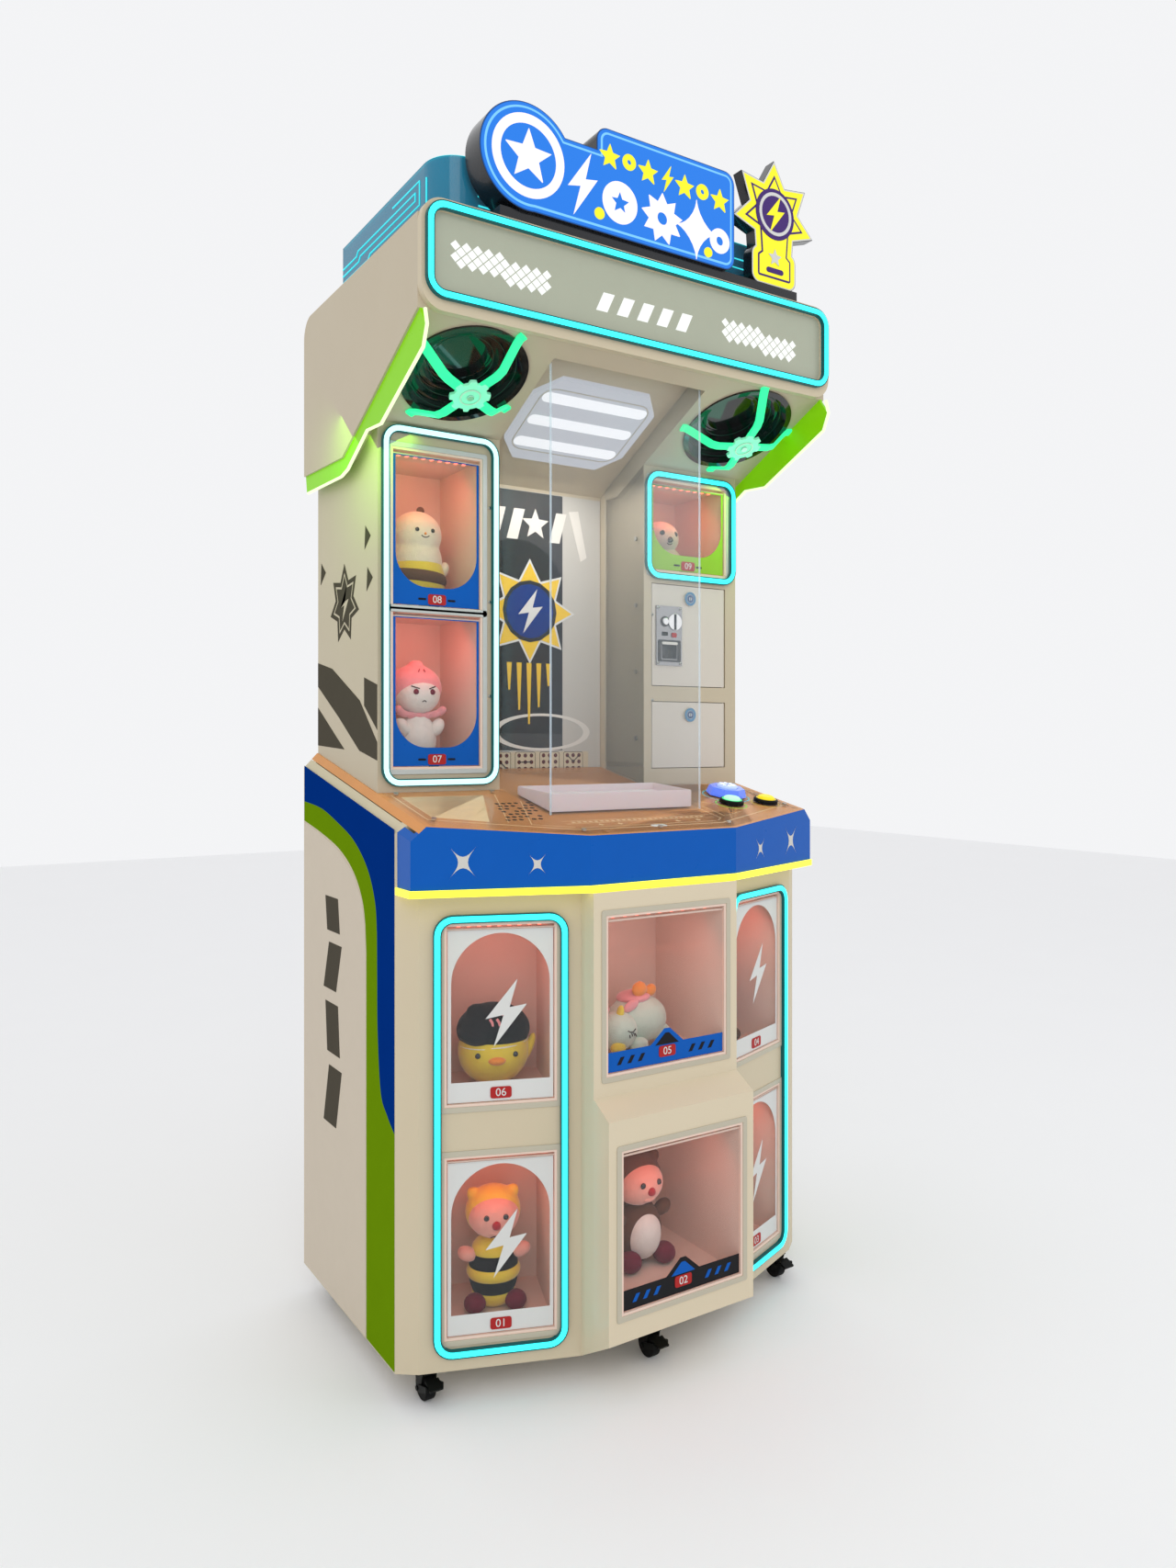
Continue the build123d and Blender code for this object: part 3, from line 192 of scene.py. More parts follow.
paint = dict(bump=0.12, bump_grain=900, tint=0.02, grain=6)
dull = dict(Specular_IOR_Level=0.12)
looks = {
    "cream": surface("cream_paint", (0.60, 0.515, 0.365), 0.42, **paint),
    # Painted shade: the same cream paint made darker for the mid and head cabinets, whose faces stand in less
    # light.
    "cream_shaded": surface("cream_shaded_paint", (0.53, 0.455, 0.33), 0.42, **paint),
    "cover": surface("cream_cover", (0.67, 0.58, 0.42), 0.36, Coat_Weight=0.12, **paint),
    "mould": surface("cream_mould", (0.50, 0.46, 0.36), 0.38, **paint),
    "alloy": surface("door_alloy", (0.52, 0.55, 0.53), 0.32, metal=0.55, tint=0.04, grain=40),
    "steel": surface("steel_door", (0.60, 0.55, 0.48), 0.34, metal=0.15, **paint),
    "deck": deck_look(),
    "gold": surface("gold_print", (0.80, 0.56, 0.30), 0.35, tint=0.1, grain=60),
    "pane": clear("clear_pane", (0.30, 0.33, 0.34), 0.06, gloss=0.35),
    "cover_pane": clear("play_cover_pane", (0.60, 0.68, 0.74), 0.05, gloss=0.45),
    "sheet": clear("deck_sheet", (0.60, 0.62, 0.64), 0.04, gloss=0.35),
    # Painted highlight: a pale, faintly glowing strip for the light the play cover's polished edges catch.
    "pane_edge_highlight": clear("pane_edge_highlight", (0.70, 0.80, 0.88), 0.40, Emission_Color=(0.60, 0.75, 0.90, 1),
                       Emission_Strength=0.12),
    "blue": surface("fascia_blue", (0.001, 0.095, 0.44), 0.3, tint=0.04, **dull),
    "royal": surface("royal_print", (0.001, 0.028, 0.20), 0.5, tint=0.04, Specular_IOR_Level=0.0),
    "green": surface("green_print", (0.135, 0.255, 0.003), 0.5, tint=0.04, Specular_IOR_Level=0.0),
    "white": surface("white_print", (0.66, 0.66, 0.64), 0.38, tint=0.02),
    "side_white": surface("side_white", (0.60, 0.52, 0.415), 0.45, tint=0.02, **dull),
    "mark": surface("grey_mark", (0.082, 0.072, 0.055), 0.5, tint=0.04, Specular_IOR_Level=0.0),
    "dark": surface("dark_print", (0.010, 0.010, 0.012), 0.35, tint=0.1, **dull),
    "red": surface("red_tag", (0.40, 0.022, 0.022), 0.35, tint=0.06, **dull),
    "card_red": surface("card_red", (0.10, 0.012, 0.012), 0.4, tint=0.06, **dull),
    "yellow_print": surface("yellow_print", (0.80, 0.52, 0.03), 0.35, tint=0.04, **dull),
    "cyan_print": surface("cyan_print", (0.05, 0.55, 0.62), 0.3, tint=0.03),
    "silver": surface("silver_print", (0.62, 0.60, 0.56), 0.30, metal=0.3, tint=0.03),
    "yellow": glow("yellow_light", (1.0, 0.93, 0.05), 1.7),
    "cyan": glow("cyan_light", (0.03, 0.82, 0.84), 2.2),
    "cyan_pale": glow("cyan_pale_light", (0.48, 0.88, 0.88), 1.7),
    "channel": surface("light_channel", (0.0, 0.055, 0.06), 0.3, Emission_Color=(0.0, 0.35, 0.36, 1),
                       Emission_Strength=0.12),
    "white_light": glow("white_light", (0.90, 0.92, 0.96), 0.95),
    "light_panel": glow("light_panel", (0.52, 0.54, 0.59), 0.85),
    "green_light": glow("green_light", (0.02, 0.56, 0.21), 2.0),
    "lime": surface("lime_trim", (0.16, 0.42, 0.004), 0.3, Emission_Color=(0.20, 0.52, 0.003, 1),
                    Emission_Strength=0.5, **dull),
    "lime_print": surface("lime_print", (0.28, 0.50, 0.04), 0.35, **dull),
    "white_edge": glow("white_edge", (0.86, 1.0, 0.62), 1.1),
    "fence": clear("fence_acrylic", (0.003, 0.20, 0.34), 0.88, rough=0.12, gloss=0.2),
    "fence_line": glow("fence_line", (0.05, 0.80, 0.88), 1.0),
    "board": surface("board_print", (0.52, 0.50, 0.46), 0.3, tint=0.02),
    "board_dark": surface("board_dark", (0.045, 0.045, 0.048), 0.3, tint=0.06, **dull),
    "board_black": surface("board_black", (0.012, 0.012, 0.014), 0.3, tint=0.06, **dull),
    "board_pale": surface("board_pale", (0.52, 0.50, 0.46), 0.3, tint=0.02),
    "board_white": surface("board_white", (0.72, 0.69, 0.64), 0.3, tint=0.02),
    "header": surface("header_print", (0.36, 0.375, 0.29), 0.32, tint=0.03,
                      Emission_Color=(0.40, 0.43, 0.33, 1),
                      Emission_Strength=0.12),
    "lit_white": glow("lit_white", (0.93, 0.96, 0.93), 0.95),
    "sign_side": surface("sign_side", (0.008, 0.009, 0.012), 0.25, Coat_Weight=0.4),
    "sign_line_dim": glow("sign_edge", (0.01, 0.14, 0.55), 0.6),
    "sign_blue": glow("sign_blue", (0.012, 0.20, 0.80), 0.95),
    "sign_line": glow("sign_line", (0.20, 0.58, 0.95), 1.0),
    "sign_white": glow("sign_white", (1.0, 0.93, 1.0), 1.0),
    "sign_yellow": glow("sign_yellow", (0.95, 0.88, 0.02), 1.0),
    "purple": surface("emblem_purple", (0.03, 0.012, 0.08), 0.35, Emission_Color=(0.06, 0.03, 0.16, 1),
                      Emission_Strength=0.6, **dull),
    "lining": surface("box_lining", (0.80, 0.62, 0.52), 0.5, tint=0.03),
    "bay_light": glow("bay_light", (1.0, 0.16, 0.10), 3.0),
    "tray": surface("tray_white", (0.80, 0.66, 0.68), 0.3, tint=0.02, Subsurface_Weight=0.2, Alpha=0.92),
    "black": surface("black_plastic", (0.008, 0.008, 0.009), 0.4, bump=0.2, bump_grain=1500, **dull),
    "gloss": surface("black_gloss", (0.004, 0.004, 0.005), 0.10, Coat_Weight=0.8, spread=0.03),
    "chrome": surface("chrome", (0.62, 0.62, 0.62), 0.14, metal=1.0, tint=0.03, spread=0.05),
    "zinc": surface("zinc_screw", (0.50, 0.50, 0.48), 0.3, metal=1.0, tint=0.08, grain=300),
    "brushed": surface("brushed_metal", (0.52, 0.53, 0.54), 0.35, metal=1.0, tint=0.1, grain=60,
                       stretch=(1, 1, 30), bump=0.1),
    "button_white": glow("button_white", (0.35, 0.80, 0.50), 0.8, base=(0.35, 0.5, 0.4)),
    "button_yellow": glow("button_yellow", (0.85, 0.68, 0.01), 0.7, base=(0.5, 0.4, 0.02)),
    "button_clear": clear("button_clear", (0.55, 0.65, 0.85), 0.75, Emission_Color=(0.25, 0.35, 0.75, 1),
                          Emission_Strength=0.6),
    "button_skirt": surface("button_skirt", (0.08, 0.12, 0.45), 0.08, tint=0.35, grain=30, Coat_Weight=0.6,
                            Emission_Color=(0.07, 0.17, 0.85, 1), Emission_Strength=0.8),
    # Painted highlight: the drop button's facets glow pale where a faceted dome catches light.
    "button_facet_highlight": surface("button_facet_highlight", (0.7, 0.75, 0.95), 0.1, tint=0.1,
                            Emission_Color=(0.62, 0.72, 1.0, 1),
                            Emission_Strength=0.7),
    "hub_clear": clear("hub_clear", (0.40, 0.80, 0.62), 0.72, Emission_Color=(0.08, 0.5, 0.3, 1),
                       Emission_Strength=0.35),
    "wheel": surface("wheel_black", (0.003, 0.003, 0.003), 0.55, bump=0.3, bump_grain=700, **dull),
    "fork": surface("fork_black", (0.003, 0.0035, 0.003), 0.4, tint=0.1, grain=200, **dull),
    # Dark metal rings inside the horns; their faint green glow is painted reflection of the lit spokes.
    "horn_ring_green_reflection": surface("horn_ring_green_reflection", (0.03, 0.035, 0.035), 0.15, metal=0.6,
                         Emission_Color=(0.0, 0.35, 0.2, 1),
                         Emission_Strength=0.05),
    "bezel": surface("lock_bezel", (0.06, 0.17, 0.28), 0.2, metal=1.0, tint=0.03, spread=0.05),
    "lock_core": surface("lock_core", (0.34, 0.36, 0.38), 0.18, metal=1.0, tint=0.03, spread=0.05),
    "selector_plate": surface("selector_plate", (0.27, 0.27, 0.275), 0.24, metal=1.0, tint=0.12, grain=9),
    "lock_blue": surface("lock_blue", (0.005, 0.05, 0.16), 0.25, metal=0.6, tint=0.05),
    "selector_dark": surface("selector_dark", (0.05, 0.05, 0.052), 0.3, metal=0.6, tint=0.1, grain=200),
    # Painted highlight: the rings round the button collars glow in the buttons' colours.
    "button_collar_highlight_green": glow("button_collar_highlight_green", (0.04, 0.80, 0.25), 1.0),
    "button_collar_highlight_amber": glow("button_collar_highlight_amber", (0.8, 0.60, 0.02), 0.8),
}


def wear(node, look, bevel=0.0):
    """Gives a CAD node its finish and, where it has sharp made edges, a small rounding."""
    o = frame["nodes"][node]
    o.data.materials.clear()
    o.data.materials.append(looks[look])
    if bevel:
        mod = o.modifiers.new("edges", "BEVEL")
        mod.width = bevel * MM
        mod.segments = 2
        mod.limit_method = "ANGLE"
        mod.angle_limit = math.radians(35)
        mod.use_clamp_overlap = True


node_looks = {
    "base_cabinet": ("cream", 2.0),
    "centre_column": ("cover", 3.0),
    "play_deck": ("deck", 0),
    "deck_cover_sheet": ("sheet", 0),
    "fascia_band": ("blue", 2.0),
    "fascia_light_tube": ("yellow", 3.0),
    "light_frames": ("channel", 1.0),
    # The mid and head cabinets wear the darker cream copy, which is painted shade.
    "mid_cabinet": ("cream_shaded", 1.5),
    "play_backboard": ("board", 0),
    "play_cover": ("cover_pane", 0),
    "head_cabinet": ("cream_shaded", 2.0),
    "header_front_panel": ("cream", 3.0),
    "header_side_trims": ("lime", 1.0),
    "ceiling_light": ("light_panel", 0),
    "speaker_horns": ("gloss", 0.8),
    "speaker_spokes": ("green_light", 1.5),
    "roof_fence": ("fence", 0.8),
    "roof_sign": ("sign_side", 1.5),
    "sign_emblem": ("sign_side", 1.0),
    "prize_boxes": ("lining", 0),
    "door_latches": ("black", 0.8),
    "coin_door": ("steel", 0.5),
    "cash_door": ("steel", 0.5),
    "rear_door": ("cream", 1.0),
    "coin_door_lock": ("lock_core", 0.4),
    "cash_door_lock": ("lock_core", 0.4),
    "coin_selector": ("selector_plate", 0.5),
    "coin_return_button": ("chrome", 0),
    "coin_box": ("brushed", 0.4),
    "electronics": ("brushed", 0.4),
    "cover_screws": ("zinc", 0.4),
    "caster_plates": ("fork", 0.4),
    "button_bodies": ("black", 0.6),
    "start_button": ("button_white", 0),
    "select_button": ("button_yellow", 0),
    "drop_button": ("button_clear", 0),
}


def dress_frame():
    for node, (look, bevel) in node_looks.items():
        wear(node, look, bevel)
    for node in frame["nodes"]:
        if node.startswith("prize_door"):
            wear(node, "pane", 0.4)
        if node.startswith(("caster_fork", "caster_brake")):
            wear(node, "fork", 0.4)
        if node.startswith("caster_wheel"):
            wear(node, "wheel")


# ---- Flat shapes on faces ----
class Face:
    """A flat face: its middle, its right and up directions, and half its width and height."""

    def __init__(self, middle, right, half_width=0.0, half_height=0.0, up=UP):
        self.middle = Vector(middle)
        self.right = Vector(right).normalized()
        self.up = Vector(up).normalized()
        self.out = self.right.cross(self.up)
        self.half_width = half_width
        self.half_height = half_height

    def matrix(self, lift=0.0):
        m = Matrix((self.right, self.up, self.out)).transposed().to_4x4()
        m.translation = self.middle + self.out * lift
        return m


def face_of(points, right):
    """The outward face of a set of points that stands upright and looks across right."""
    right = Vector(right).normalized()
    out = right.cross(UP)
    spans = []
    for direction in (right, UP, out):
        values = [p.dot(direction) for p in points]
        spans.append((min(values), max(values)))
    middle = right * sum(spans[0]) / 2 + UP * sum(spans[1]) / 2 + out * spans[2][1]
    return Face(middle, right, (spans[0][1] - spans[0][0]) / 2, (spans[1][1] - spans[1][0]) / 2)


def vertices(node):
    return [v.co.copy() for v in frame["nodes"][node].data.vertices]


def islands(node):
    """The separate solids of a CAD node, as lists of points."""
    mesh = frame["nodes"][node].data
    keys = {}
    spot = []
    for v in mesh.vertices:
        key = tuple(round(c, 5) for c in v.co)
        spot.append(keys.setdefault(key, len(keys)))
    parent = list(range(len(keys)))

    def find(a):
        while parent[a] != a:
            parent[a] = parent[parent[a]]
            a = parent[a]
        return a

    for e in mesh.edges:
        parent[find(spot[e.vertices[0]])] = find(spot[e.vertices[1]])
    groups = {}
    for key, i in keys.items():
        groups.setdefault(find(i), []).append(Vector(key))
    return list(groups.values())


def rounded_loop(width, height, radius, cx=0.0, cy=0.0, steps=6):
    points = []
    for k, (sx, sy) in enumerate(((1, 1), (-1, 1), (-1, -1), (1, -1))):
        for i in range(steps + 1):
            a = math.radians(90 * k + 90 * i / steps)
            x = cx + sx * (width / 2 - radius) + radius * math.cos(a)
            y = cy + sy * (height / 2 - radius) + radius * math.sin(a)
            points.append((x, y))
    return points


def disc_loop(radius, cx=0.0, cy=0.0, steps=32):
    return [(cx + radius * math.cos(2 * math.pi * i / steps), cy + radius * math.sin(2 * math.pi * i / steps))
            for i in range(steps)]


def star_loop(reach, tall=1.25, steps=32, turn=0.0, power=3):
    """Four-pointed star with hollow sides."""
    points = []
    for i in range(steps):
        a = 2 * math.pi * i / steps
        x, y = reach * math.cos(a) ** power, reach * math.sin(a) ** power
        points.append((x * math.cos(turn) - y * math.sin(turn),
                       tall * (x * math.sin(turn) + y * math.cos(turn))))
    return points


def burst_loop(outer, inner, count, cx=0.0, cy=0.0, turn=90.0):
    points = []
    for i in range(2 * count):
        a = math.radians(turn + 180 * i / count)
        r = outer if i % 2 == 0 else inner
        points.append((cx + r * math.cos(a), cy + r * math.sin(a)))
    return points


def scaled(points, size, cx=0.0, cy=0.0):
    return [(cx + size * x, cy + size * y) for x, y in points]


BOLT = [(0.18, 0.5), (-0.30, -0.08), (-0.03, -0.03), (-0.18, -0.5), (0.32, 0.12), (0.06, 0.08)]


def finish_piece(name, mesh, look, body):
    mesh.materials.clear()
    mesh.materials.append(looks[look] if isinstance(look, str) else look)
    piece = bpy.data.objects.new(name, mesh)
    bpy.context.scene.collection.objects.link(piece)
    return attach(piece, body) or piece


def curve_mesh(data):
    """Mesh of a curve or text datablock, which is then removed."""
    holder = bpy.data.objects.new("holder", data)
    mesh = bpy.data.meshes.new_from_object(holder)
    bpy.data.objects.remove(holder)
    return mesh


def flat(name, loops, face, look, body=CABINET, lift=0.1, thick=0.3, bevel=0.0):
    """Closed outlines, with any inner ones as holes, as a thin plate on a face; lift and thick in mm."""
    data = bpy.data.curves.new(name, "CURVE")
    data.dimensions = "2D"
    data.fill_mode = "BOTH"
    data.extrude = thick * MM / 2
    data.bevel_depth = bevel * MM
    for loop in loops:
        spline = data.splines.new("POLY")
        spline.points.add(len(loop) - 1)
        for point, (x, y) in zip(spline.points, loop):
            point.co = (x, y, 0, 1)
        spline.use_cyclic_u = True
    mesh = curve_mesh(data)
    mesh.transform(face.matrix((lift + thick / 2) * MM))
    return finish_piece(name, mesh, look, body)


def label(name, words, size, face, look, body, cx=0.0, cy=0.0, lift=0.5, thick=0.3):
    """Numerals as a thin raised plate."""
    data = bpy.data.curves.new(name, "FONT")
    data.body = words
    data.size = size
    data.align_x = "CENTER"
    data.align_y = "CENTER"
    data.extrude = thick * MM / 2
    mesh = curve_mesh(data)
    mesh.transform(Matrix.Translation((cx, cy, 0)))
    mesh.transform(face.matrix((lift + thick / 2) * MM))
    return finish_piece(name, mesh, look, body)


def tube(name, points, radius, look, body=CABINET, closed=False, resolution=3):
    """Round tube along points in space."""
    data = bpy.data.curves.new(name, "CURVE")
    data.dimensions = "3D"
    data.bevel_depth = radius
    data.bevel_resolution = resolution
    data.use_fill_caps = not closed
    spline = data.splines.new("POLY")
    spline.points.add(len(points) - 1)
    for point, p in zip(spline.points, points):
        point.co = (*p, 1)
    spline.use_cyclic_u = closed
    mesh = curve_mesh(data)
    for polygon in mesh.polygons:
        polygon.use_smooth = True
    return finish_piece(name, mesh, look, body)


def on_face(face, loop, lift):
    m = face.matrix(lift)
    return [m @ Vector((x, y, 0)) for x, y in loop]


# ---- Light frames ----
def door_right(bay):
    """Direction across a prize door, from its hinge's axis."""
    joint = next(j for j in frame["joints"] if j["name"] == f"prize_door_{bay}_hinge")
    return -Vector(joint["axis"])


def light_cores():
    rights = [door_right("06"), door_right("04"), RIGHT]
    for number, points in enumerate(islands("light_frames")):
        middle = sum(points, Vector()) / len(points)
        if middle.z > 1.0:
            right = rights[2]
        else:
            right = rights[0] if middle.x < 0 else rights[1]
        face = face_of(points, right)
        inset = 7 * MM
        loop = rounded_loop(2 * (face.half_width - inset), 2 * (face.half_height - inset), 27 * MM)
        pale = middle.x < 0 and 1.0 < middle.z < 1.8
        look = "cyan_pale" if pale else "cyan"
        tube(f"light_core_{number}", on_face(face, loop, -1.5 * MM), 5.2 * MM, look, closed=True)


# ---- Prize doors ----
def door_face(bay):
    return face_of(vertices(f"prize_door_{bay}"), door_right(bay))


def pane_lift():
    """The pane's front lies behind the barrel's front by this much, in mm."""
    return -2.5


def opening_arch(half, low, high):
    """Opening with a round top."""
    points = [(-half, low), (half, low), (half, high - half)]
    for i in range(1, 24):
        a = math.pi * i / 24
        points.append((half * math.cos(a), high - half + half * math.sin(a)))
    points.append((-half, high - half))
    return points


def opening_cup(half, low, high, radius):
    """Opening with two large round lower corners."""
    points = [(half, high), (-half, high)]
    for i in range(13):
        a = math.radians(180 + 90 * i / 12)
        points.append((radius - half + radius * math.cos(a), low + radius + radius * math.sin(a)))
    for i in range(13):
        a = math.radians(270 + 90 * i / 12)
        points.append((half - radius + radius * math.cos(a), low + radius + radius * math.sin(a)))
    return points


def slash_loop(cx, cy, width, height, lean):
    w, h = width / 2, height / 2
    return [(cx - w - lean, cy - h), (cx + w - lean, cy - h), (cx + w + lean, cy + h),
            (cx - w + lean, cy + h)]


def number_tag(bay, face, height):
    body = f"prize_door_{bay}"
    lift = pane_lift() + 0.5
    flat(f"tag_{bay}", [rounded_loop(0.036, 0.019, 0.004, 0, height)], face, "red", body, lift, 1.0, 0.2)
    label(f"tag_number_{bay}", bay, 0.019, face, "white", body, 0, height, lift + 1.3)


def door_prints():
    for bay in BAYS:
        face = door_face(bay)
        w, h = face.half_width, face.half_height
        body = f"prize_door_{bay}"
        lift = pane_lift() + 0.1
        edge = [(-w, -h), (w, -h), (w, h - 0.006), (-w, h - 0.006)]
        if bay in CANTED:
            hole = opening_arch(w - 0.006, -h + 0.034, h - 0.012)
            flat(f"door_print_{bay}", [edge, hole], face, "white", body, lift)
            flat(f"door_bolt_{bay}", [scaled(BOLT, 0.115, 0.008, 0)], face, "white", body, lift)
            number_tag(bay, face, -h + 0.014)
        elif bay in ("07", "08", "09"):
            hole = opening_cup(w - 0.005, -h + 0.034, h - 0.008, 0.062)
            look = "lime_print" if bay == "09" else "blue"
            flat(f"door_print_{bay}", [edge, hole], face, look, body, lift)
            for side in (-1, 1):
                slot = rounded_loop(0.016, 0.004, 0.0019, side * 0.030, -h + 0.012)
                flat(f"door_slot_{bay}_{side + 1}", [slot], face, "dark", body, lift + 0.4)
            number_tag(bay, face, -h + 0.012)
        else:
            band_print(bay, face, body, lift)
            number_tag(bay, face, -h + 0.020)


def band_print(bay, face, body, lift):
    """Band with a roof-shaped middle and slanted slots along a window's lower edge."""
    w, h = face.half_width, face.half_height
    top = -h + 0.034
    band = [(-w, -h), (w, -h), (w, top), (0.036, top), (0.006, top + 0.026), (-0.006, top + 0.026),
            (-0.036, top),
            (-w, top)]
    roof = [(-0.026, top - 0.002), (0.026, top - 0.002), (0.004, top + 0.018), (-0.004, top + 0.018)]
    upper = bay == "05"
    flat(f"door_print_{bay}", [band], face, "blue" if upper else "dark", body, lift)
    flat(f"door_roof_{bay}", [roof], face, "dark" if upper else "blue", body, lift + 0.4)
    for side in (-1, 1):
        for step in range(3):
            slot = slash_loop(side * (0.056 + 0.022 * step), -h + 0.017, 0.008, 0.013, 0.004)
            name = f"door_slot_{bay}_{side + 1}_{step}"
            flat(name, [slot], face, "dark" if upper else "blue", body, lift + 0.4)


def door_surrounds():
    """Bevelled moulding round each prize door, and the lit strip inside the bay."""
    for bay in BAYS:
        face = door_face(bay)
        width, height = 2 * face.half_width + 0.013, 2 * face.half_height + 0.013
        outer = rounded_loop(width + 0.016, height + 0.016, 0.004, steps=3)
        inner = rounded_loop(width, height, 0.001, steps=2)
        look = "alloy" if bay in ("07", "08", "09") else "mould"
        flat(f"door_surround_{bay}", [outer, inner], face, look, CABINET, 1.7, 1.0, 0.7)
        bay_lamp(bay, face)


def bay_lamp(bay, face):
    """Row of small lamps under the bay's roof, just behind the door."""
    half = face.half_width - 0.012
    count = 9
    base = Face(face.middle - face.out * 0.030, face.right)
    strip = [(-half, face.half_height - 0.002), (half, face.half_height - 0.002),
             (half, face.half_height + 0.0005), (-half, face.half_height + 0.0005)]
    flat(f"bay_strip_{bay}", [strip], base, "white", CABINET, 0, 9.0)
    for i in range(count):
        x = -half + 2 * half * (i + 0.5) / count
        lamp = rounded_loop(0.006, 0.0016, 0.0006, x, face.half_height - 0.003, 2)
        flat(f"bay_lamp_{bay}_{i}", [lamp], base, "bay_light", CABINET, 1.5, 6.0)


# ---- Side, deck and board prints ----
def side_face(half, out):
    """Face on the left or right side: forward from the back plane, then up from the floor."""
    right = Vector((0, -1, 0)) if out < 0 else Vector((0, 1, 0))
    return Face((out * half, at(0), 0), right)


def mm_loop(points, flip=1):
    return [(flip * x * MM, y * MM) for x, y in points]


def smooth_path(points, steps=6):
    """Points along a soft curve through the given ones."""
    result = []
    for i in range(len(points) - 1):
        p0 = Vector(points[max(i - 1, 0)])
        p1, p2 = Vector(points[i]), Vector(points[i + 1])
        p3 = Vector(points[min(i + 2, len(points) - 1)])
        for k in range(steps):
            t = k / steps
            a = 2 * p1 + (p2 - p0) * t + (2 * p0 - 5 * p1 + 4 * p2 - p3) * t * t
            result.append(tuple(0.5 * (a + (3 * p1 - p0 - 3 * p2 + p3) * t ** 3)))
    return result + [tuple(points[-1])]


BLUE_EDGE = smooth_path([(3, 992), (104, 983), (190, 962), (276, 934), (342, 890), (378, 835),
                         (387, 780)]) + \
    smooth_path([(388, 700), (390, 610), (404, 510), (432, 478), (463, 456)])
GREEN_EDGE = smooth_path([(3, 953), (110, 934), (205, 911), (275, 877), (318, 832),
                          (333, 790)]) + [(338, 740), (338, 57)]


def side_prints():
    half = -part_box("base_cabinet")[0][0]
    mid = 0.4205
    top = [(463, 966), (3, 1064)]
    for out in (-1, 1):
        face = side_face(half, out)
        flip = 1 if out < 0 else -1
        blue = BLUE_EDGE + top
        green = GREEN_EDGE + [(463, 57), (463, 452)] + BLUE_EDGE[::-1]
        panel = [(3, 57), (335, 57), (335, 740), (330, 790), (315, 832), (272, 875), (203, 908), (110, 931),
                 (3, 950)]
        flat(f"side_blue_{out + 1}", [mm_loop(blue, flip)], face, "royal")
        flat(f"side_green_{out + 1}", [mm_loop(green, flip)], face, "green")
        flat(f"side_white_{out + 1}", [mm_loop(panel, flip)], face, "side_white")
        for number, (low, high,
                     lean) in enumerate(((752, 817, 10), (640, 730, -10), (520, 615, 10), (383, 495, -10))):
            bar = [(128 + lean, low), (196 + lean, low), (206 - lean, high), (138 - lean, high)]
            flat(f"side_bar_{out + 1}_{number}", [mm_loop(bar, flip)], face, "mark", lift=0.5)
        face = side_face(mid, out)
        stroke = [(0, 1273), (83, 1257), (230, 1190), (315, 1112), (315, 1079), (228, 1096), (120, 1160),
                  (0, 1225)]
        corner = [(252, 1232), (315, 1216), (315, 1134), (252, 1180)]
        foot = [(0, 1105), (0, 1182), (96, 1128), (150, 1098)]
        for number, points in enumerate((stroke, corner, foot)):
            flat(f"upper_stroke_{out + 1}_{number}", [mm_loop(points, flip)], face, "mark")
        star = [(150 + 78 * x, 1378 + 78 * y) for x, y in burst_loop(1.0, 0.62, 7)]
        core = [(150 + 62 * x, 1378 + 62 * y) for x, y in burst_loop(1.0, 0.62, 7)]
        flat(f"upper_star_edge_{out + 1}", [mm_loop(star, flip), mm_loop(core, flip)], face, "mark")
        core = [(150 + 54 * x, 1378 + 54 * y) for x, y in burst_loop(1.0, 0.62, 7)]
        bolt = [(150 + 72 * x, 1378 + 72 * y) for x, y in BOLT]
        flat(f"upper_star_{out + 1}", [mm_loop(core, flip), mm_loop(bolt, flip)], face, "mark")
        for number, (x, y) in enumerate(((30, 1452), (268, 1490), (278, 1412))):
            tri = [(x - 14, y - 22), (x + 16, y), (x - 10, y + 22)]
            flat(f"upper_chip_{out + 1}_{number}", [mm_loop(tri, flip)], face, "mark")


DECK_SLOPE = 0.2177          # rise of the deck towards the back
DECK_GROW = math.hypot(1, DECK_SLOPE)
FASCIA_DEPTH = 621.0
FASCIA_TOP = 0.957
HEADER_MIDDLE = 1.905        # height of the lit header panel's middle
WALL_SCREW = (0.193, 316)    # across from the middle, depth
LOCK_X = 0.291


def deck_face():
    """The deck's upper face, from the fascia's front edge."""
    return Face((0, at(FASCIA_DEPTH), FASCIA_TOP), RIGHT, up=Vector((0, 1, DECK_SLOPE)))


def deck_spot(x, depth):
    """Face of the deck with its middle at a place on it."""
    deck = deck_face()
    u, v = on_deck([(x, depth)])[0]
    return Face(deck.middle + deck.right * u + deck.up * v, RIGHT, up=deck.up)


def on_deck(points):
    """(x, depth) points as coordinates on the deck's face."""
    return [(x * MM, (FASCIA_DEPTH - depth) * DECK_GROW * MM) for x, depth in points]


def ribbon(points, width):
    """Closed outline of a thin line along points."""
    left, right = [], []
    for i, p in enumerate(points):
        a = Vector(points[max(i - 1, 0)])
        b = Vector(points[min(i + 1, len(points) - 1)])
        d = (b - a).normalized()
        n = Vector((-d.y, d.x)) * width / 2
        left.append(tuple(Vector(p) + n))
        right.append(tuple(Vector(p) - n))
    return left + right[::-1]


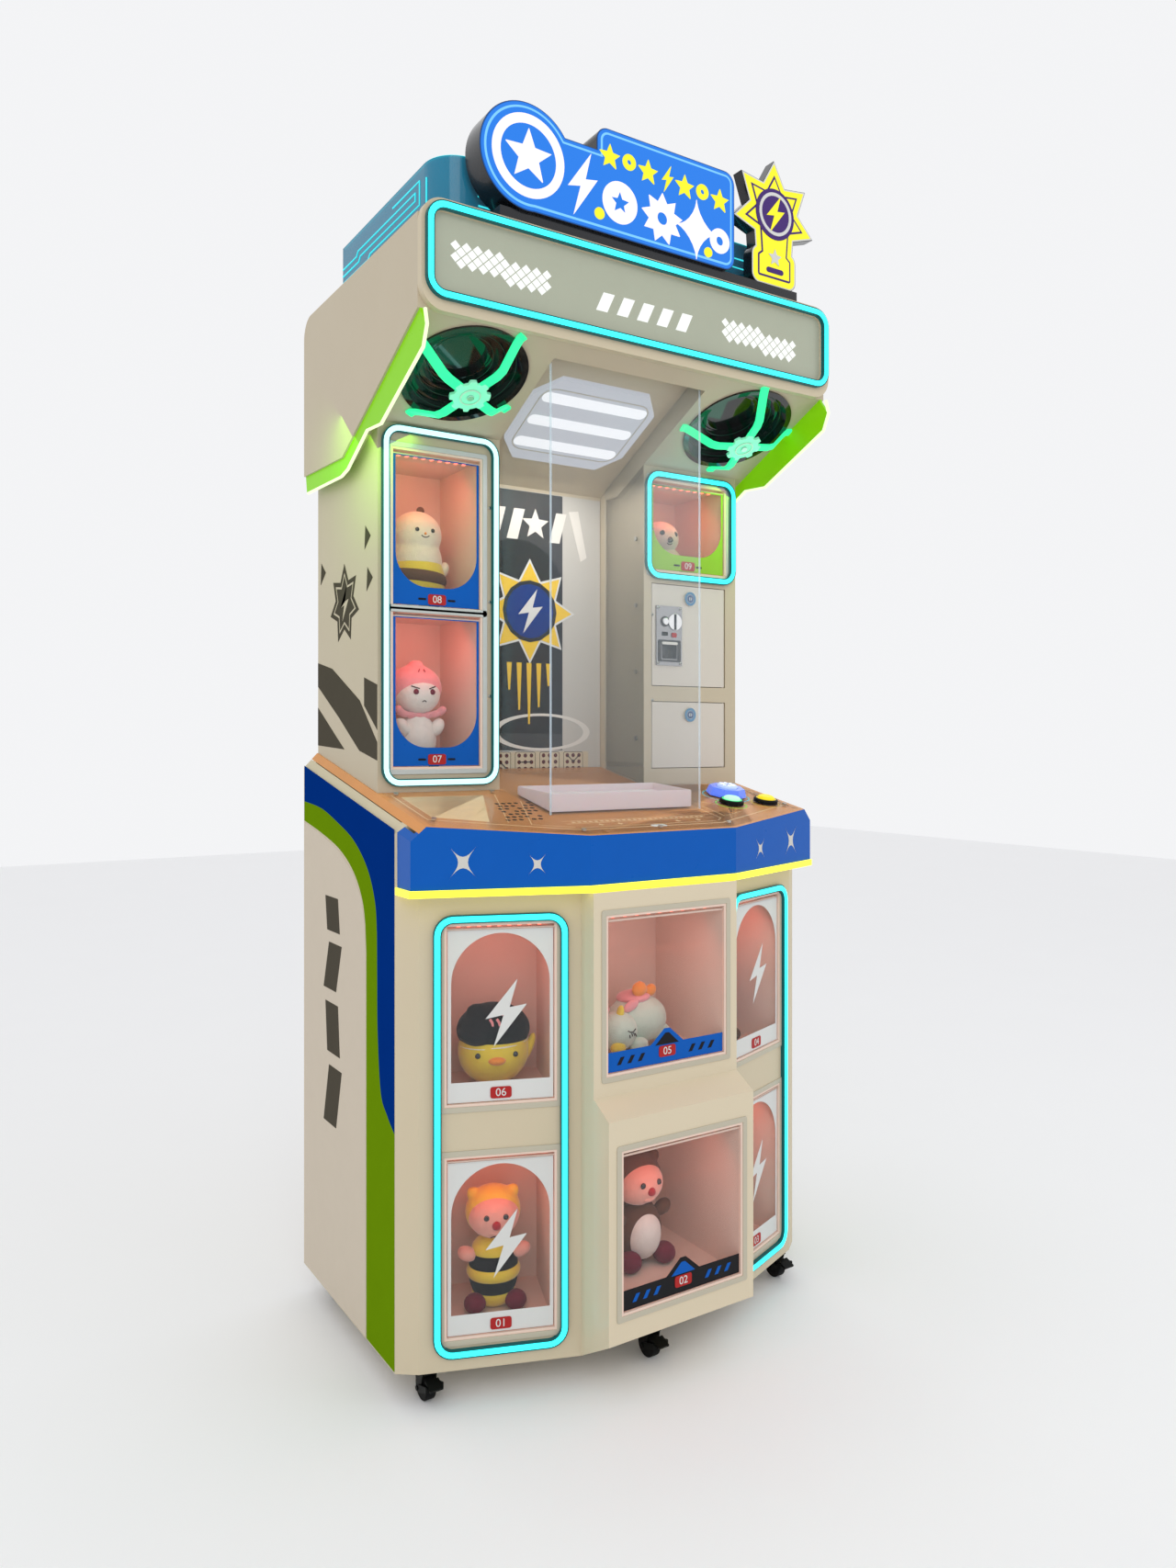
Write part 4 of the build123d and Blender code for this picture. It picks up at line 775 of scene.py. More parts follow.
def deck_prints():
    face = deck_face()
    under = -2.95

    def gold(name, points, width=1.6, look="gold"):
        flat(f"deck_{name}", [ribbon(on_deck(points), width * MM)], face, look, lift=under, thick=0.2)

    edge = [(-402, 336), (-402, 492), (-158, 588), (158, 588), (402, 492), (402, 336)]
    gold("edge", edge, 2.4)
    panel = [(-388, 350), (-388, 480), (-300, 520), (-226, 352), (-388, 350)]
    gold("panel", panel)
    gold("zig_1", [(-345, 425), (-300, 372), (-262, 372)])
    gold("zig_2", [(-335, 432), (-292, 384), (-262, 384)])
    gold("zig_3", [(-325, 440), (-285, 396), (-250, 396), (-262, 432), (-300, 470)])
    gold("zig_4", [(-372, 395), (-340, 395), (-318, 362)])
    gold("zig_5", [(-372, 470), (-342, 440), (-342, 408)])
    gold("left_2", [(-200, 350), (-268, 528)])
    gold("left_3", [(-160, 572), (-232, 545), (-172, 400)])
    gold("right_1", [(176, 400), (176, 560), (160, 572)])
    gold("right_2", [(196, 400), (196, 548), (258, 524)])
    gold("right_3", [(216, 352), (216, 450), (236, 470)])
    gold("line_1", [(-165, 536), (165, 536)], 1.2)
    gold("line_2", [(-165, 552), (165, 552)], 1.2)
    gold("line_3", [(-150, 576), (150, 576)], 1.6)
    loops = [on_deck(slash) for slash in
             ([(x, 541), (x + 7, 541), (x + 7, 547), (x, 547)] for x in range(-150, 150, 12))]
    flat("deck_dashes", loops, face, "gold", lift=under, thick=0.2)
    dots = []
    for i in range(6):
        for j in range(7):
            x, d = -228 + 13 * i - 5.5 * j + (3 if j % 2 else 0), 412 + 17 * j
            if (i + j) % 5 != 4:
                dots.append(disc_loop(4.6 * MM, *on_deck([(x, d)])[0], 12))
    flat("deck_dots", dots, face, "dark", lift=under, thick=0.2)
    for number, (x, d) in enumerate(((-101, 564), (118, 564), (-60, 564), (70, 564))):
        star = scaled(star_loop(7 * MM, 1.0, 16), 1, *on_deck([(x, d)])[0])
        flat(f"deck_star_{number}", [star], face, "gold", lift=under, thick=0.2)
    badge = rounded_loop(0.034, 0.013, 0.006, *on_deck([(10, 586)])[0])
    flat("deck_badge", [badge], face, "white", lift=under, thick=0.3)
    for number, (x, d, r, look) in enumerate(((275, 474, 33, "lime"), (364, 477, 30, "yellow_print"),
                                              (312, 413, 50, "cyan_print"))):
        cx, cy = on_deck([(x, d)])[0]
        ring = [disc_loop(r * MM, cx, cy), disc_loop((r - 3) * MM, cx, cy)]
        flat(f"deck_ring_{number}", ring, face, look, lift=under, thick=0.2)
        ring = [disc_loop((r + 4) * MM, cx, cy), disc_loop((r + 3) * MM, cx, cy)]
        flat(f"deck_fine_ring_{number}", ring, face, "gold", lift=under, thick=0.2)


def fascia_stars():
    """Four-point stars on the fascia's canted facets."""
    half, fascia_side, corner = 161.0, 447.0, 521.0
    run, drop = fascia_side - half, FASCIA_DEPTH - corner
    for side in (-1, 1):
        right = Vector((run, side * drop, 0))
        start = (side * fascia_side * MM, at(corner), 0)
        for size, along, z in ((26, 86, 914), (18, 211, 908)):
            length = along * MM * (1 if side < 0 else -1)
            face = Face(Vector(start) + right.normalized() * length, right)
            face.middle.z = z * MM
            flat(f"fascia_star_{side + 1}_{along}", [star_loop(size * 1.25 * MM, 1.15, 48, math.pi / 4, 5)],
                 face, "silver")


def backboard_prints():
    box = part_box("play_backboard")
    face = Face((0, box[0][1], 0), RIGHT)
    half = box[1][0] * 1000 - 1
    dark = [(-half, 1094), (72, 1094), (72, 1644), (-half, 1644)]
    pale = [(74, 1020), (half, 1020), (half, 1644), (74, 1644)]
    flat("board_dark", [mm_loop(dark)], face, "board_dark")
    flat("board_pale", [mm_loop(pale)], face, "board_pale")
    for number, x in enumerate((-158, -112, -66, 38)):
        chunk = [(x, 1541), (x + 26, 1541), (x + 44, 1606), (x + 18, 1606)]
        flat(f"board_block_{number}", [mm_loop(chunk)], face, "board_white", lift=0.5)
    flat("board_star", [mm_loop(burst_loop(34, 15, 5, 4, 1576))], face, "board_white", lift=0.5)
    chip = [(88, 1612), (112, 1616), (134, 1516), (118, 1506)]
    flat("board_chip", [mm_loop(chip)], face, "board_white", lift=0.5)
    arch = [(-40 + 120 * math.cos(math.radians(a)),
             1421 + 120 * math.sin(math.radians(a))) for a in range(0, 181, 10)]
    arch += [(-160, 1130), (72, 1130)]
    arch = [(min(x, 71), y) for x, y in arch]
    flat("board_arch", [mm_loop(arch)], face, "board_black", lift=0.5)
    ring = [[(20 + 122 * s * math.cos(math.radians(a)), 1133 + 40 * s * math.sin(math.radians(a)))
             for a in range(0, 360, 10)] for s in (1.0, 0.86)]
    flat("board_ring", [mm_loop(ring[0]), mm_loop(ring[1])], face, "board_white", lift=0.8)
    for number, (outer, inner, look,
                 turn) in enumerate(((112, 70, "white", 90), (104, 64, "yellow_print", 90),
                                                        (66, 66, "board_black", 90), (58, 58, "royal", 90))):
        shape = burst_loop(outer, inner, 8, -10, 1390, turn)
        flat(f"board_burst_{number}", [mm_loop(shape)], face, look, lift=1.0 + 0.35 * number)
    bolt = [(-10 + 96 * x, 1390 + 96 * y) for x, y in BOLT]
    flat("board_bolt", [mm_loop(bolt)], face, "white", lift=2.6)
    for number, (x, low) in enumerate(((-62, 1222), (-38, 1180), (-14, 1150), (10, 1186), (34, 1232))):
        streak = [(x - 4, 1280), (x + 8, 1280), (x + 4, low), (x, low)]
        flat(f"board_streak_{number}", [mm_loop(streak)], face, "yellow_print", lift=1.0)
    card_row(face, half)


def card_row(face, half):
    """Row of small cards, each with nine dots and a line through three of them."""
    flat("board_cards", [mm_loop([(-half, 1044), (138, 1044), (138, 1091), (-half, 1091)])], face, "cream",
         lift=0.5)
    paths = ([(0, 0), (1, 1), (2, 2)], [(0, 2), (1, 1), (2, 0)], [(0, 1), (1, 1), (2, 1)],
             [(1, 0), (1, 1), (1, 2)],
             [(0, 2), (1, 1), (2, 2)])
    dots, lines, rims = [], [], []
    for number, path in enumerate(paths):
        x0, y0 = -166 + 60 * number, 1047
        rims.append(rounded_loop(0.050, 0.044, 0.005, (x0 + 25) * MM, (y0 + 22) * MM, 3))
        rims.append(rounded_loop(0.048, 0.042, 0.004, (x0 + 25) * MM, (y0 + 22) * MM, 3))
        spots = {(i, j): ((x0 + 10 + 15 * i) * MM,
                          (y0 + 8 + 14 * j) * MM) for i in range(3) for j in range(3)}
        dots += [disc_loop(0.0044, *spot, 12) for spot in spots.values()]
        lines.append(ribbon([spots[k] for k in path], 0.0022))
    flat("card_rims", rims, face, "dark", lift=0.9)
    flat("card_dots", dots, face, "card_red", lift=0.9)
    flat("card_lines", lines, face, "dark", lift=1.3)


# ---- Header, sign and emblem ----
def header_prints():
    face = Face((0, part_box("header_front_panel")[0][1] + 0.004, 0), RIGHT)
    for side, (x0, z0) in enumerate(((-388, 1921), (181, 1912))):
        diamonds = []
        for column in range(18):
            first = 1 if column > 8 else 0
            for row in range(first, first + 4):
                if (column + row) % 2 == 0:
                    x, z = x0 + 10.2 * column, z0 - 9.4 * row
                    diamonds.append([(x, z - 8.4), (x + 9.0, z), (x, z + 8.4), (x - 9.0, z)])
        flat(f"header_lattice_{side}", [mm_loop(d) for d in diamonds], face, "lit_white", lift=0.4)
    for number in range(5):
        x = -104 + 44 * number
        bar = [(x - 10, 1874), (x + 14, 1874), (x + 30, 1908), (x + 6, 1908)]
        flat(f"header_bar_{number}", [mm_loop(bar)], face, "lit_white", lift=0.4)
    plate = rounded_loop(0.857, 0.128, 0.019, 0, HEADER_MIDDLE)
    flat("header_plate", [plate], face, "header", lift=0.02, thick=0.2)


def cut_out(name, node, index, looks_by_inset, grow_depth=0.6):
    """Front faces of a cut-out, redrawn inside its own outline in steps, each lying on the one before."""
    mesh = frame["nodes"][node].data
    pieces = sorted(islands(node), key=len)
    points = pieces[index]
    keys = {tuple(round(c, 5) for c in p) for p in points}
    front = min(p.y for p in points)
    edges = {}
    for polygon in mesh.polygons:
        spots = [tuple(round(c, 5) for c in mesh.vertices[v].co) for v in polygon.vertices]
        if polygon.normal.y > -0.99 or not all(s in keys for s in spots) or abs(spots[0][1] - front) > 0.0005:
            continue
        for a, b in zip(spots, spots[1:] + spots[:1]):
            if (b, a) in edges:
                del edges[(b, a)]
            else:
                edges[(a, b)] = True
    follow = {}
    for a, b in edges:
        follow[a] = b
    start = next(iter(follow))
    loop, spot = [start], follow[start]
    while spot != start and spot in follow and len(loop) < 5000:
        loop.append(spot)
        spot = follow[spot]
    outline = [(s[0], s[2]) for s in loop]
    face = Face((0, front, 0), RIGHT)
    for number, (inset, look) in enumerate(looks_by_inset):
        shape = shrink(outline, inset * MM)
        flat(f"{name}_{number}", [shape], face, look, lift=0.1 + grow_depth * number, thick=grow_depth - 0.1)
    return face


def shrink(loop, distance):
    """Outline moved inward; points that would cross over are dropped."""
    n = len(loop)
    area = sum(loop[i][0] * loop[(i + 1) % n][1] - loop[(i + 1) % n][0] * loop[i][1] for i in range(n))
    sign = 1 if area > 0 else -1
    clean = [p for i, p in enumerate(loop) if (Vector(p) - Vector(loop[i - 1])).length > 0.0005]
    n = len(clean)
    moved = []
    for i in range(n):
        a, b, c = Vector(clean[i - 1]), Vector(clean[i]), Vector(clean[(i + 1) % n])
        d1, d2 = (b - a).normalized(), (c - b).normalized()
        n1, n2 = Vector((-d1.y, d1.x)) * sign, Vector((-d2.y, d2.x)) * sign
        bisect = (n1 + n2)
        if bisect.length < 0.1:
            continue
        bisect.normalize()
        p = b + bisect * distance / max(0.35, bisect.dot(n1))
        moved.append((p, b))
    kept = []
    segments = [(Vector(clean[i]), Vector(clean[(i + 1) % n])) for i in range(n)]
    for p, b in moved:
        near = min(point_gap(p, s, e) for s, e in segments)
        if near > distance * 0.93:
            kept.append(tuple(p))
    return kept


def point_gap(p, a, b):
    ab = b - a
    t = max(0.0, min(1.0, (p - a).dot(ab) / max(ab.dot(ab), 1e-12)))
    return (p - a - ab * t).length


def sign_prints():
    face = cut_out("sign_face", "roof_sign", -1,
                   ((0.8, "sign_line_dim"), (2.5, "sign_blue"), (8, "sign_line"),
                                                 (12, "sign_blue")))

    def shape(name, loops, look, lift=2.6, thick=2.0):
        flat(f"sign_{name}", [mm_loop(points) for points in loops], face, look, lift=lift, thick=thick,
             bevel=0.3)

    shape("ball_rim", [disc_loop(70, -250, 2106, 56), disc_loop(55, -250, 2106, 56)], "sign_white")
    shape("ball_star", [burst_loop(46, 20, 5, -250, 2106)], "sign_white")
    shape("bolt", [[(-142 + 96 * x, 2088 + 112 * y) for x, y in BOLT]], "sign_white")
    shape("ball_2", [disc_loop(37, -62, 2076, 40), burst_loop(22, 10, 5, -62, 2076)], "sign_white")
    shape("burst", [burst_loop(46, 30, 9, 32, 2072), disc_loop(12, 32, 2072, 20)], "sign_white")
    shape("spark", [scaled(star_loop(1.0, 1.15), 46, 112, 2072)], "sign_white")
    shape("ball_3", [disc_loop(23, 168, 2064, 32), disc_loop(9, 168, 2064, 20)], "sign_white")
    for number, x in enumerate((-84, 0, 84, 168)):
        shape(f"small_star_{number}", [burst_loop(22, 10, 5, x, 2152 - 4 * number)], "sign_yellow")
    for number, x in enumerate((-42, 126)):
        shape(f"small_ball_{number}",
              [disc_loop(14, x, 2154 - 8 * number, 24), disc_loop(5, x, 2154 - 8 * number, 16)],
              "sign_yellow")
    shape("small_bolt", [[(44 + 40 * x, 2148 + 48 * y) for x, y in BOLT]], "sign_yellow")
    shape("dot_1", [disc_loop(10, -106, 2046, 24)], "sign_yellow")
    shape("dot_2", [disc_loop(9, 140, 2036, 24)], "sign_yellow")


def emblem_prints():
    face = cut_out("emblem_face", "sign_emblem", -1, ((1.0, "white"), (4.0, "sign_yellow"), (15.0, "purple"),
                                                     (19.0, "sign_yellow")))
    low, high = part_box("sign_emblem")
    cx = (low[0] + high[0]) / 2 / MM
    cz = high[2] / MM - 108

    def shape(name, loops, look, lift):
        flat(f"emblem_{name}", [mm_loop(points) for points in loops], face, look, lift=lift, thick=1.2,
             bevel=0.2)

    shape("disc", [disc_loop(50, cx, cz, 40)], "purple", 2.8)
    shape("ring", [disc_loop(42, cx, cz, 40), disc_loop(36, cx, cz, 40)], "white", 4.1)
    shape("bolt", [[(cx + 74 * x, cz + 74 * y) for x, y in BOLT]], "sign_yellow", 4.1)
    shape("foot_bar", [rounded_loop(44, 10, 5, cx, cz - 112)], "purple", 2.8)
    shape("foot_star", [burst_loop(17, 8, 5, cx, cz - 86)], "white", 2.8)


# ---- Roof fence ----
def fence_lines():
    low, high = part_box("roof_fence")
    half, front = high[0], low[1]
    rear = (back_y - high[1]) / MM + 2
    patterns = (
        [(rear, 2068), (120, 2068), (128, 2076), (400, 2076), (400, 2062), (140, 2062), (132, 2054),
         (rear, 2054)],
        [(rear, 2040), (180, 2040), (190, 2048), (418, 2048), (418, 2090), (300, 2090)],
        [(rear, 2020), (436, 2020), (446, 2030), (446, 2084)],
        [(rear, 2004), (300, 2004), (310, 1994), (450, 1994)],
    )
    for out in (-1, 1):
        face = side_face(half, out)
        flip = 1 if out < 0 else -1
        for number, points in enumerate(patterns):
            tube(f"fence_line_{out + 1}_{number}", on_face(face, mm_loop(points, flip), 0.0002), 0.0016,
                 "fence_line",
                 resolution=1)
    face = Face((0, front, 0), RIGHT)
    patterns = (
        [(-310, 2080), (-232, 2080), (-232, 2066), (-310, 2066), (-310, 2050), (-180, 2050)],
        [(-310, 2034), (-150, 2034), (-140, 2024), (300, 2024)],
        [(-318, 2006), (316, 2006)],
        [(318, 2080), (240, 2080), (240, 2062), (318, 2062), (318, 2040), (210, 2040)],
    )
    for number, points in enumerate(patterns):
        tube(f"fence_line_front_{number}", on_face(face, mm_loop(points), 0.0002), 0.0016, "fence_line",
             resolution=1)
    edge_glow(half, front, high[1], high[2])


def edge_glow(half, front, rear, top):
    """Bright upper edge of the clear fence."""
    radius = 0.060 - 0.003
    inset = 0.003
    z = top + 0.0006
    points = [(-half + inset, rear - 2 * MM, z), (-half + inset, front + 0.060, z)]
    for i in range(1, 8):
        a = math.radians(180 + 90 * i / 8)
        points.append((-half + 0.060 + radius * math.cos(a), front + 0.060 + radius * math.sin(a), z))
    points += [(-half + 0.060, front + inset, z)]
    points += [(-x, y, z) for x, y, z in reversed(points)]
    tube("fence_edge", points, 0.0018, "fence_line", resolution=2)


# ---- Trims, ceiling light and speakers ----
def trim_edges():
    """Bright cut edge along the lower outline of each lime trim, as (depth, height)."""
    outline = [(6, 1617.5), (196, 1613), (229, 1620), (325, 1670), (389, 1666), (563, 1747), (577, 1779),
               (570, 1806)]
    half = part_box("header_side_trims")[1][0]
    for out in (-1, 1):
        x = out * (half - 0.003)
        points = [(x, at(d), z * MM - 0.0004) for d, z in outline]
        tube(f"trim_edge_{out + 1}", points, 0.0033, "white_edge", resolution=2)


def ceiling_tubes():
    low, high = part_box("ceiling_light")
    slope = 0.514
    right, up = RIGHT, Vector((0, -1, slope)).normalized()
    middle = Vector((0, (low[1] + high[1]) / 2, (low[2] + high[2]) / 2))
    face = Face(middle, -right, up=up)
    if face.out.z > 0:
        face = Face(middle, right, up=up)
    for number, offset in enumerate((-0.062, 0.0, 0.062)):
        band = rounded_loop(0.240, 0.026, 0.012, 0, offset)
        flat(f"ceiling_band_{number}", [band], face, "white_light", lift=4.2, thick=0.4)
    rim = [rounded_loop(0.250, 0.172, 0.03), rounded_loop(0.246, 0.168, 0.028)]
    flat("ceiling_seam", rim, face, "mould", lift=4.2, thick=0.3)


def head_frame(side):
    """Underside of the top cabinet at a speaker: middle, across and along the slope."""
    head_slope = (1811.0 - 1643.0) / (556.0 - 215.0)
    depth = 447.0
    z = 1643.0 + head_slope * (depth - 215.0)
    middle = Vector((side * 0.312, at(depth), z * MM))
    forward = Vector((0, -1, head_slope)).normalized()
    return middle, RIGHT, forward


def bar_piece(name, stations, look):
    """Bar lofted through stations: each has a middle, a half width direction and a half height direction."""
    bm = bmesh.new()
    rings = []
    for middle, a, b in stations:
        corners = [(-1, -0.55), (-0.75, -1), (0.75, -1), (1, -0.55), (1, 0.55), (0.75, 1), (-0.75, 1),
                   (-1, 0.55)]
        rings.append([bm.verts.new(middle + a * x + b * y) for x, y in corners])
    for r0, r1 in zip(rings, rings[1:]):
        for i in range(8):
            bm.faces.new((r0[i], r0[(i + 1) % 8], r1[(i + 1) % 8], r1[i]))
    bm.faces.new(rings[0][::-1])
    bm.faces.new(rings[-1])
    bmesh.ops.recalc_face_normals(bm, faces=bm.faces)
    mesh = bpy.data.meshes.new(name)
    bm.to_mesh(mesh)
    bm.free()
    return finish_piece(name, mesh, look, CABINET)


def prize_tray():
    """Shallow tray with a level rim, its floor on the sloped deck."""
    low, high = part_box("ball_tray")
    face = deck_face()
    half = high[0]
    wall = 4 * MM
    front, back = 490.0, 366.0
    rim = low[2] + 0.034

    def corner(x, depth, lift):
        v = on_deck([(0, depth)])[0][1]
        return face.middle + RIGHT * x + face.up * v + face.out * lift

    bm = bmesh.new()
    rings = []
    for inset, on_floor in ((0, 0.0003), (0, None), (wall, None), (wall, wall)):
        ring = []
        for x, depth in ((-half, front), (half, front), (half, back), (-half, back)):
            x -= math.copysign(inset, x)
            depth += (-inset if depth == front else inset) / MM
            p = corner(x, depth, on_floor or 0)
            if on_floor is None:
                p.z = rim + (0.010 if depth < 400 else 0)
            ring.append(bm.verts.new(p))
        rings.append(ring)
    for r0, r1 in zip(rings, rings[1:]):
        for i in range(4):
            bm.faces.new((r0[i], r0[(i + 1) % 4], r1[(i + 1) % 4], r1[i]))
    bm.faces.new(rings[-1])
    bm.faces.new(rings[0][::-1])
    bmesh.ops.recalc_face_normals(bm, faces=bm.faces)
    bmesh.ops.bevel(bm, geom=bm.edges[:], offset=0.0011, segments=2, affect="EDGES")
    mesh = bpy.data.meshes.new("play_tray")
    bm.to_mesh(mesh)
    bm.free()
    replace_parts(finish_piece("play_tray", mesh, "tray", CABINET), "ball_tray")


def cover_edges():
    """Strips on the front corners of the clear play cover, with a faint glow that is a painted highlight of
    their polished edges.
    """
    low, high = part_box("play_cover")
    half = 1.7 * MM
    for side in (-1, 1):
        corner = [p for p in vertices("play_cover") if p.y < low[1] + MM and p.x * side > high[0] - MM]
        x, y = side * (high[0] - half), low[1] + half
        stations = [(Vector((x, y, z)), Vector((half, 0, 0)), Vector((0, half, 0)))
                    for z in (min(p.z for p in corner), max(p.z for p in corner) - half)]
        bar_piece(f"cover_edge_{side + 1}", stations, "pane_edge_highlight")


def speaker_details():
    """Lit bent spokes, clear cog hub and rings inside each horn whose faint green glow is painted reflection
    of the spokes.
    """
    pieces = []
    for side in (-1, 1):
        middle, across, along = head_frame(side)
        out = along.cross(across)
        if out.z > 0:
            out = -out
        tag = "left" if side < 0 else "right"
        for arm in range(4):
            a = math.radians(90 * arm + (62 if side < 0 else 100))
            d = across * math.cos(a) + along * math.sin(a)
            t = out.cross(d)
            rise = 0.046
            path = ((0.020, rise), (0.060, rise), (0.074, rise - 0.004), (0.112, 0.010), (0.122, 0.0035),
                    (0.130, 0.003))
            stations = []
            for i, (r, h) in enumerate(path):
                p0, p1 = path[max(i - 1, 0)], path[min(i + 1, len(path) - 1)]
                run = (d * (p1[0] - p0[0]) + out * (p1[1] - p0[1])).normalized()
                stations.append((middle + d * r + out * h, t * 0.0088, run.cross(t) * 0.0032))
            pieces.append(bar_piece(f"spoke_{tag}_{arm}", stations, "green_light"))
        face = Face(middle + out * 0.0455, across, up=-along)
        if face.out.dot(out) < 0:
            face = Face(middle + out * 0.0455, across, up=along)
        cog = []
        for i in range(64):
            a = 2 * math.pi * i / 64
            reach = 0.033 + 0.0032 * math.copysign(1, math.sin(8 * a))
            cog.append((reach * math.cos(a), reach * math.sin(a)))
        pieces.append(flat(f"hub_cog_{tag}", [cog], face, "hub_clear", lift=0, thick=5, bevel=0.6))
        pieces.append(flat(f"hub_ring_{tag}", [disc_loop(0.019), disc_loop(0.0165)], face, "silver",
                           lift=6.3, thick=0.6))
        pieces.append(flat(f"hub_cap_{tag}", [disc_loop(0.006, steps=24)], face, "chrome", lift=6.2,
                           thick=2.2, bevel=0.5))
        # Rings with a painted green reflection glow.
        for number, (r, h) in enumerate(((0.096, 0.008), (0.079, 0.021), (0.060, 0.033))):
            base = Face(middle - out * h, face.right, up=face.up)
            flat(f"horn_ring_{tag}_{number}", [disc_loop(r, steps=48), disc_loop(r - 0.0016, steps=48)],
                 base, "horn_ring_green_reflection",
                 lift=0, thick=0.5)
    for piece in pieces:
        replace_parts(piece, "speaker_spokes")


def object_lights():
    """The machine's own light falling on what is round it."""
    pink = (1.0, 0.13, 0.07)
    for bay in BAYS:
        face = door_face(bay)
        place = face.middle - face.out * 0.055 + UP * (face.half_height - 0.014)
        power = 0.13 if bay in ("07", "08", "09") else 0.12
        area_light(f"bay_lamp_{bay}", place, place - UP - face.out * 0.9, face.half_width * 1.3, power, pink)
    low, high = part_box("ceiling_light")
    place = (0, (low[1] + high[1]) / 2, low[2] - 0.03)
    area_light("play_lamp", place, (0, place[1] + 0.05, 1.0), 0.24, 0.9, (1.0, 0.97, 0.93))
    for side in (-1, 1):
        middle = head_frame(side)[0]
        area_light(f"horn_lamp_{side + 1}", middle + Vector((0, 0, -0.07)), middle, 0.16, 0.06,
                   (0.05, 1.0, 0.55))
        trim = Vector((side * 0.470, at(300), 1.63))
        area_light(f"trim_lamp_{side + 1}", trim, (side * 0.40, at(180), 1.50), 0.25, 0.40, (0.35, 1.0, 0.02))


# ---- Service doors, locks and coin parts ----
def lock_details():
    """Blue ring and bezel round each service door's lock."""
    for door, z in (("coin_door", 1.419), ("cash_door", 1.170)):
        lock = f"{door}_lock"
        face = Face((LOCK_X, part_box(lock)[0][1] + 0.001, z), RIGHT)
        ring = [disc_loop(0.0145, steps=40), disc_loop(0.0098, steps=40)]
        flat(f"{lock}_bezel", ring, face, "bezel", body=door, lift=0, thick=0.8, bevel=0.3)
        flat(f"{lock}_blue", [disc_loop(0.0078, steps=32), disc_loop(0.0045, steps=32)], face, "lock_blue",
             body=lock, lift=1.1, thick=0.3)


def coin_details():
    """Trim on the coin selector's plate."""
    low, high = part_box("coin_selector")
    cx = (low[0] + high[0]) / 2
    face = Face((cx, low[1], (low[2] + high[2]) / 2), RIGHT)
    body = "coin_door"

    def plate(name, loops, look, lift=0.1, thick=0.8, bevel=0.2):
        flat(f"selector_{name}", [mm_loop(p) for p in loops], face, look, body, lift, thick, bevel)

    plate("guide", [disc_loop(17, 14, 30, 40), mm_rect(6.6, 34.6, 14, 30)[::-1]], "chrome", 0.1, 2.2, 0.5)
    plate("recess", [rounded_loop(60, 46, 4, 0, -32), rounded_loop(44, 34, 3, 0, -34)], "selector_dark", 0.1,
          0.6)
    plate("lamp", [rounded_loop(12, 9, 2, 12, 2)], "red", 0.1, 1.6, 0.4)
    plate("label", [rounded_loop(15, 8, 1, -12, 4)], "dark", 0.1, 0.4)
    plate("ring", [disc_loop(11, -12, 30, 32), disc_loop(8.6, -12, 30, 32)], "selector_dark", 0.1, 0.8)
    plate("flap_lip", [rounded_loop(40, 5, 2, 0, -16)], "silver", 0.1, 2.0, 0.5)
    for i, (x, z) in enumerate(((-29, 58), (29, 58), (-29, -58), (29, -58))):
        screw(f"selector_screw_{i}", Face(face.middle + Vector((x * MM, 0, z * MM)), RIGHT), body, 3.2)


def mm_rect(w, h, cx, cy):
    return [(cx - w / 2, cy - h / 2), (cx + w / 2, cy - h / 2), (cx + w / 2, cy + h / 2),
            (cx - w / 2, cy + h / 2)]


def screw(name, face, body=CABINET, radius=4.0):
    """Domed screw head with a cross recess."""
    bm = bmesh.new()
    rings = []
    for r, h in ((1.0, 0.0), (1.0, 0.25), (0.82, 0.52), (0.5, 0.66), (0.0, 0.70)):
        if r == 0:
            rings.append([bm.verts.new((0, 0, h * radius))])
        else:
            rings.append([bm.verts.new((r * radius * math.cos(a * math.pi / 8),
                                        r * radius * math.sin(a * math.pi / 8),
                                        h * radius)) for a in range(16)])
    for r0, r1 in zip(rings, rings[1:]):
        for i in range(16):
            j = (i + 1) % 16
            bm.faces.new((r0[i], r0[j], r1[j], r1[i]) if len(r1) > 1 else (r0[i], r0[j], r1[0]))
    bmesh.ops.scale(bm, vec=(MM, MM, MM), verts=bm.verts)
    mesh = bpy.data.meshes.new(name)
    bm.to_mesh(mesh)
    bm.free()
    for polygon in mesh.polygons:
        polygon.use_smooth = True
    mesh.transform(face.matrix(0))
    piece = finish_piece(name, mesh, "zinc", body)
    cross = [rounded_loop(1.3 * radius, 0.26 * radius, 0.1 * radius),
             rounded_loop(0.26 * radius, 1.3 * radius, 0.1 * radius)]
    for number, loop in enumerate(cross):
        flat(f"{name}_slot_{number}", [mm_loop(loop)], face, "dark", body, lift=0.66 * radius, thick=0.12)
    return piece


def wall_screws():
    """Small screws that hold the cover's edges to the play field's side walls."""
    for side in (-1, 1):
        for i, z in enumerate((1.20, 1.38, 1.56)):
            screw(f"wall_screw_{side + 1}_{i}", Face((side * WALL_SCREW[0], at(WALL_SCREW[1]), z), RIGHT),
                  radius=3.2)


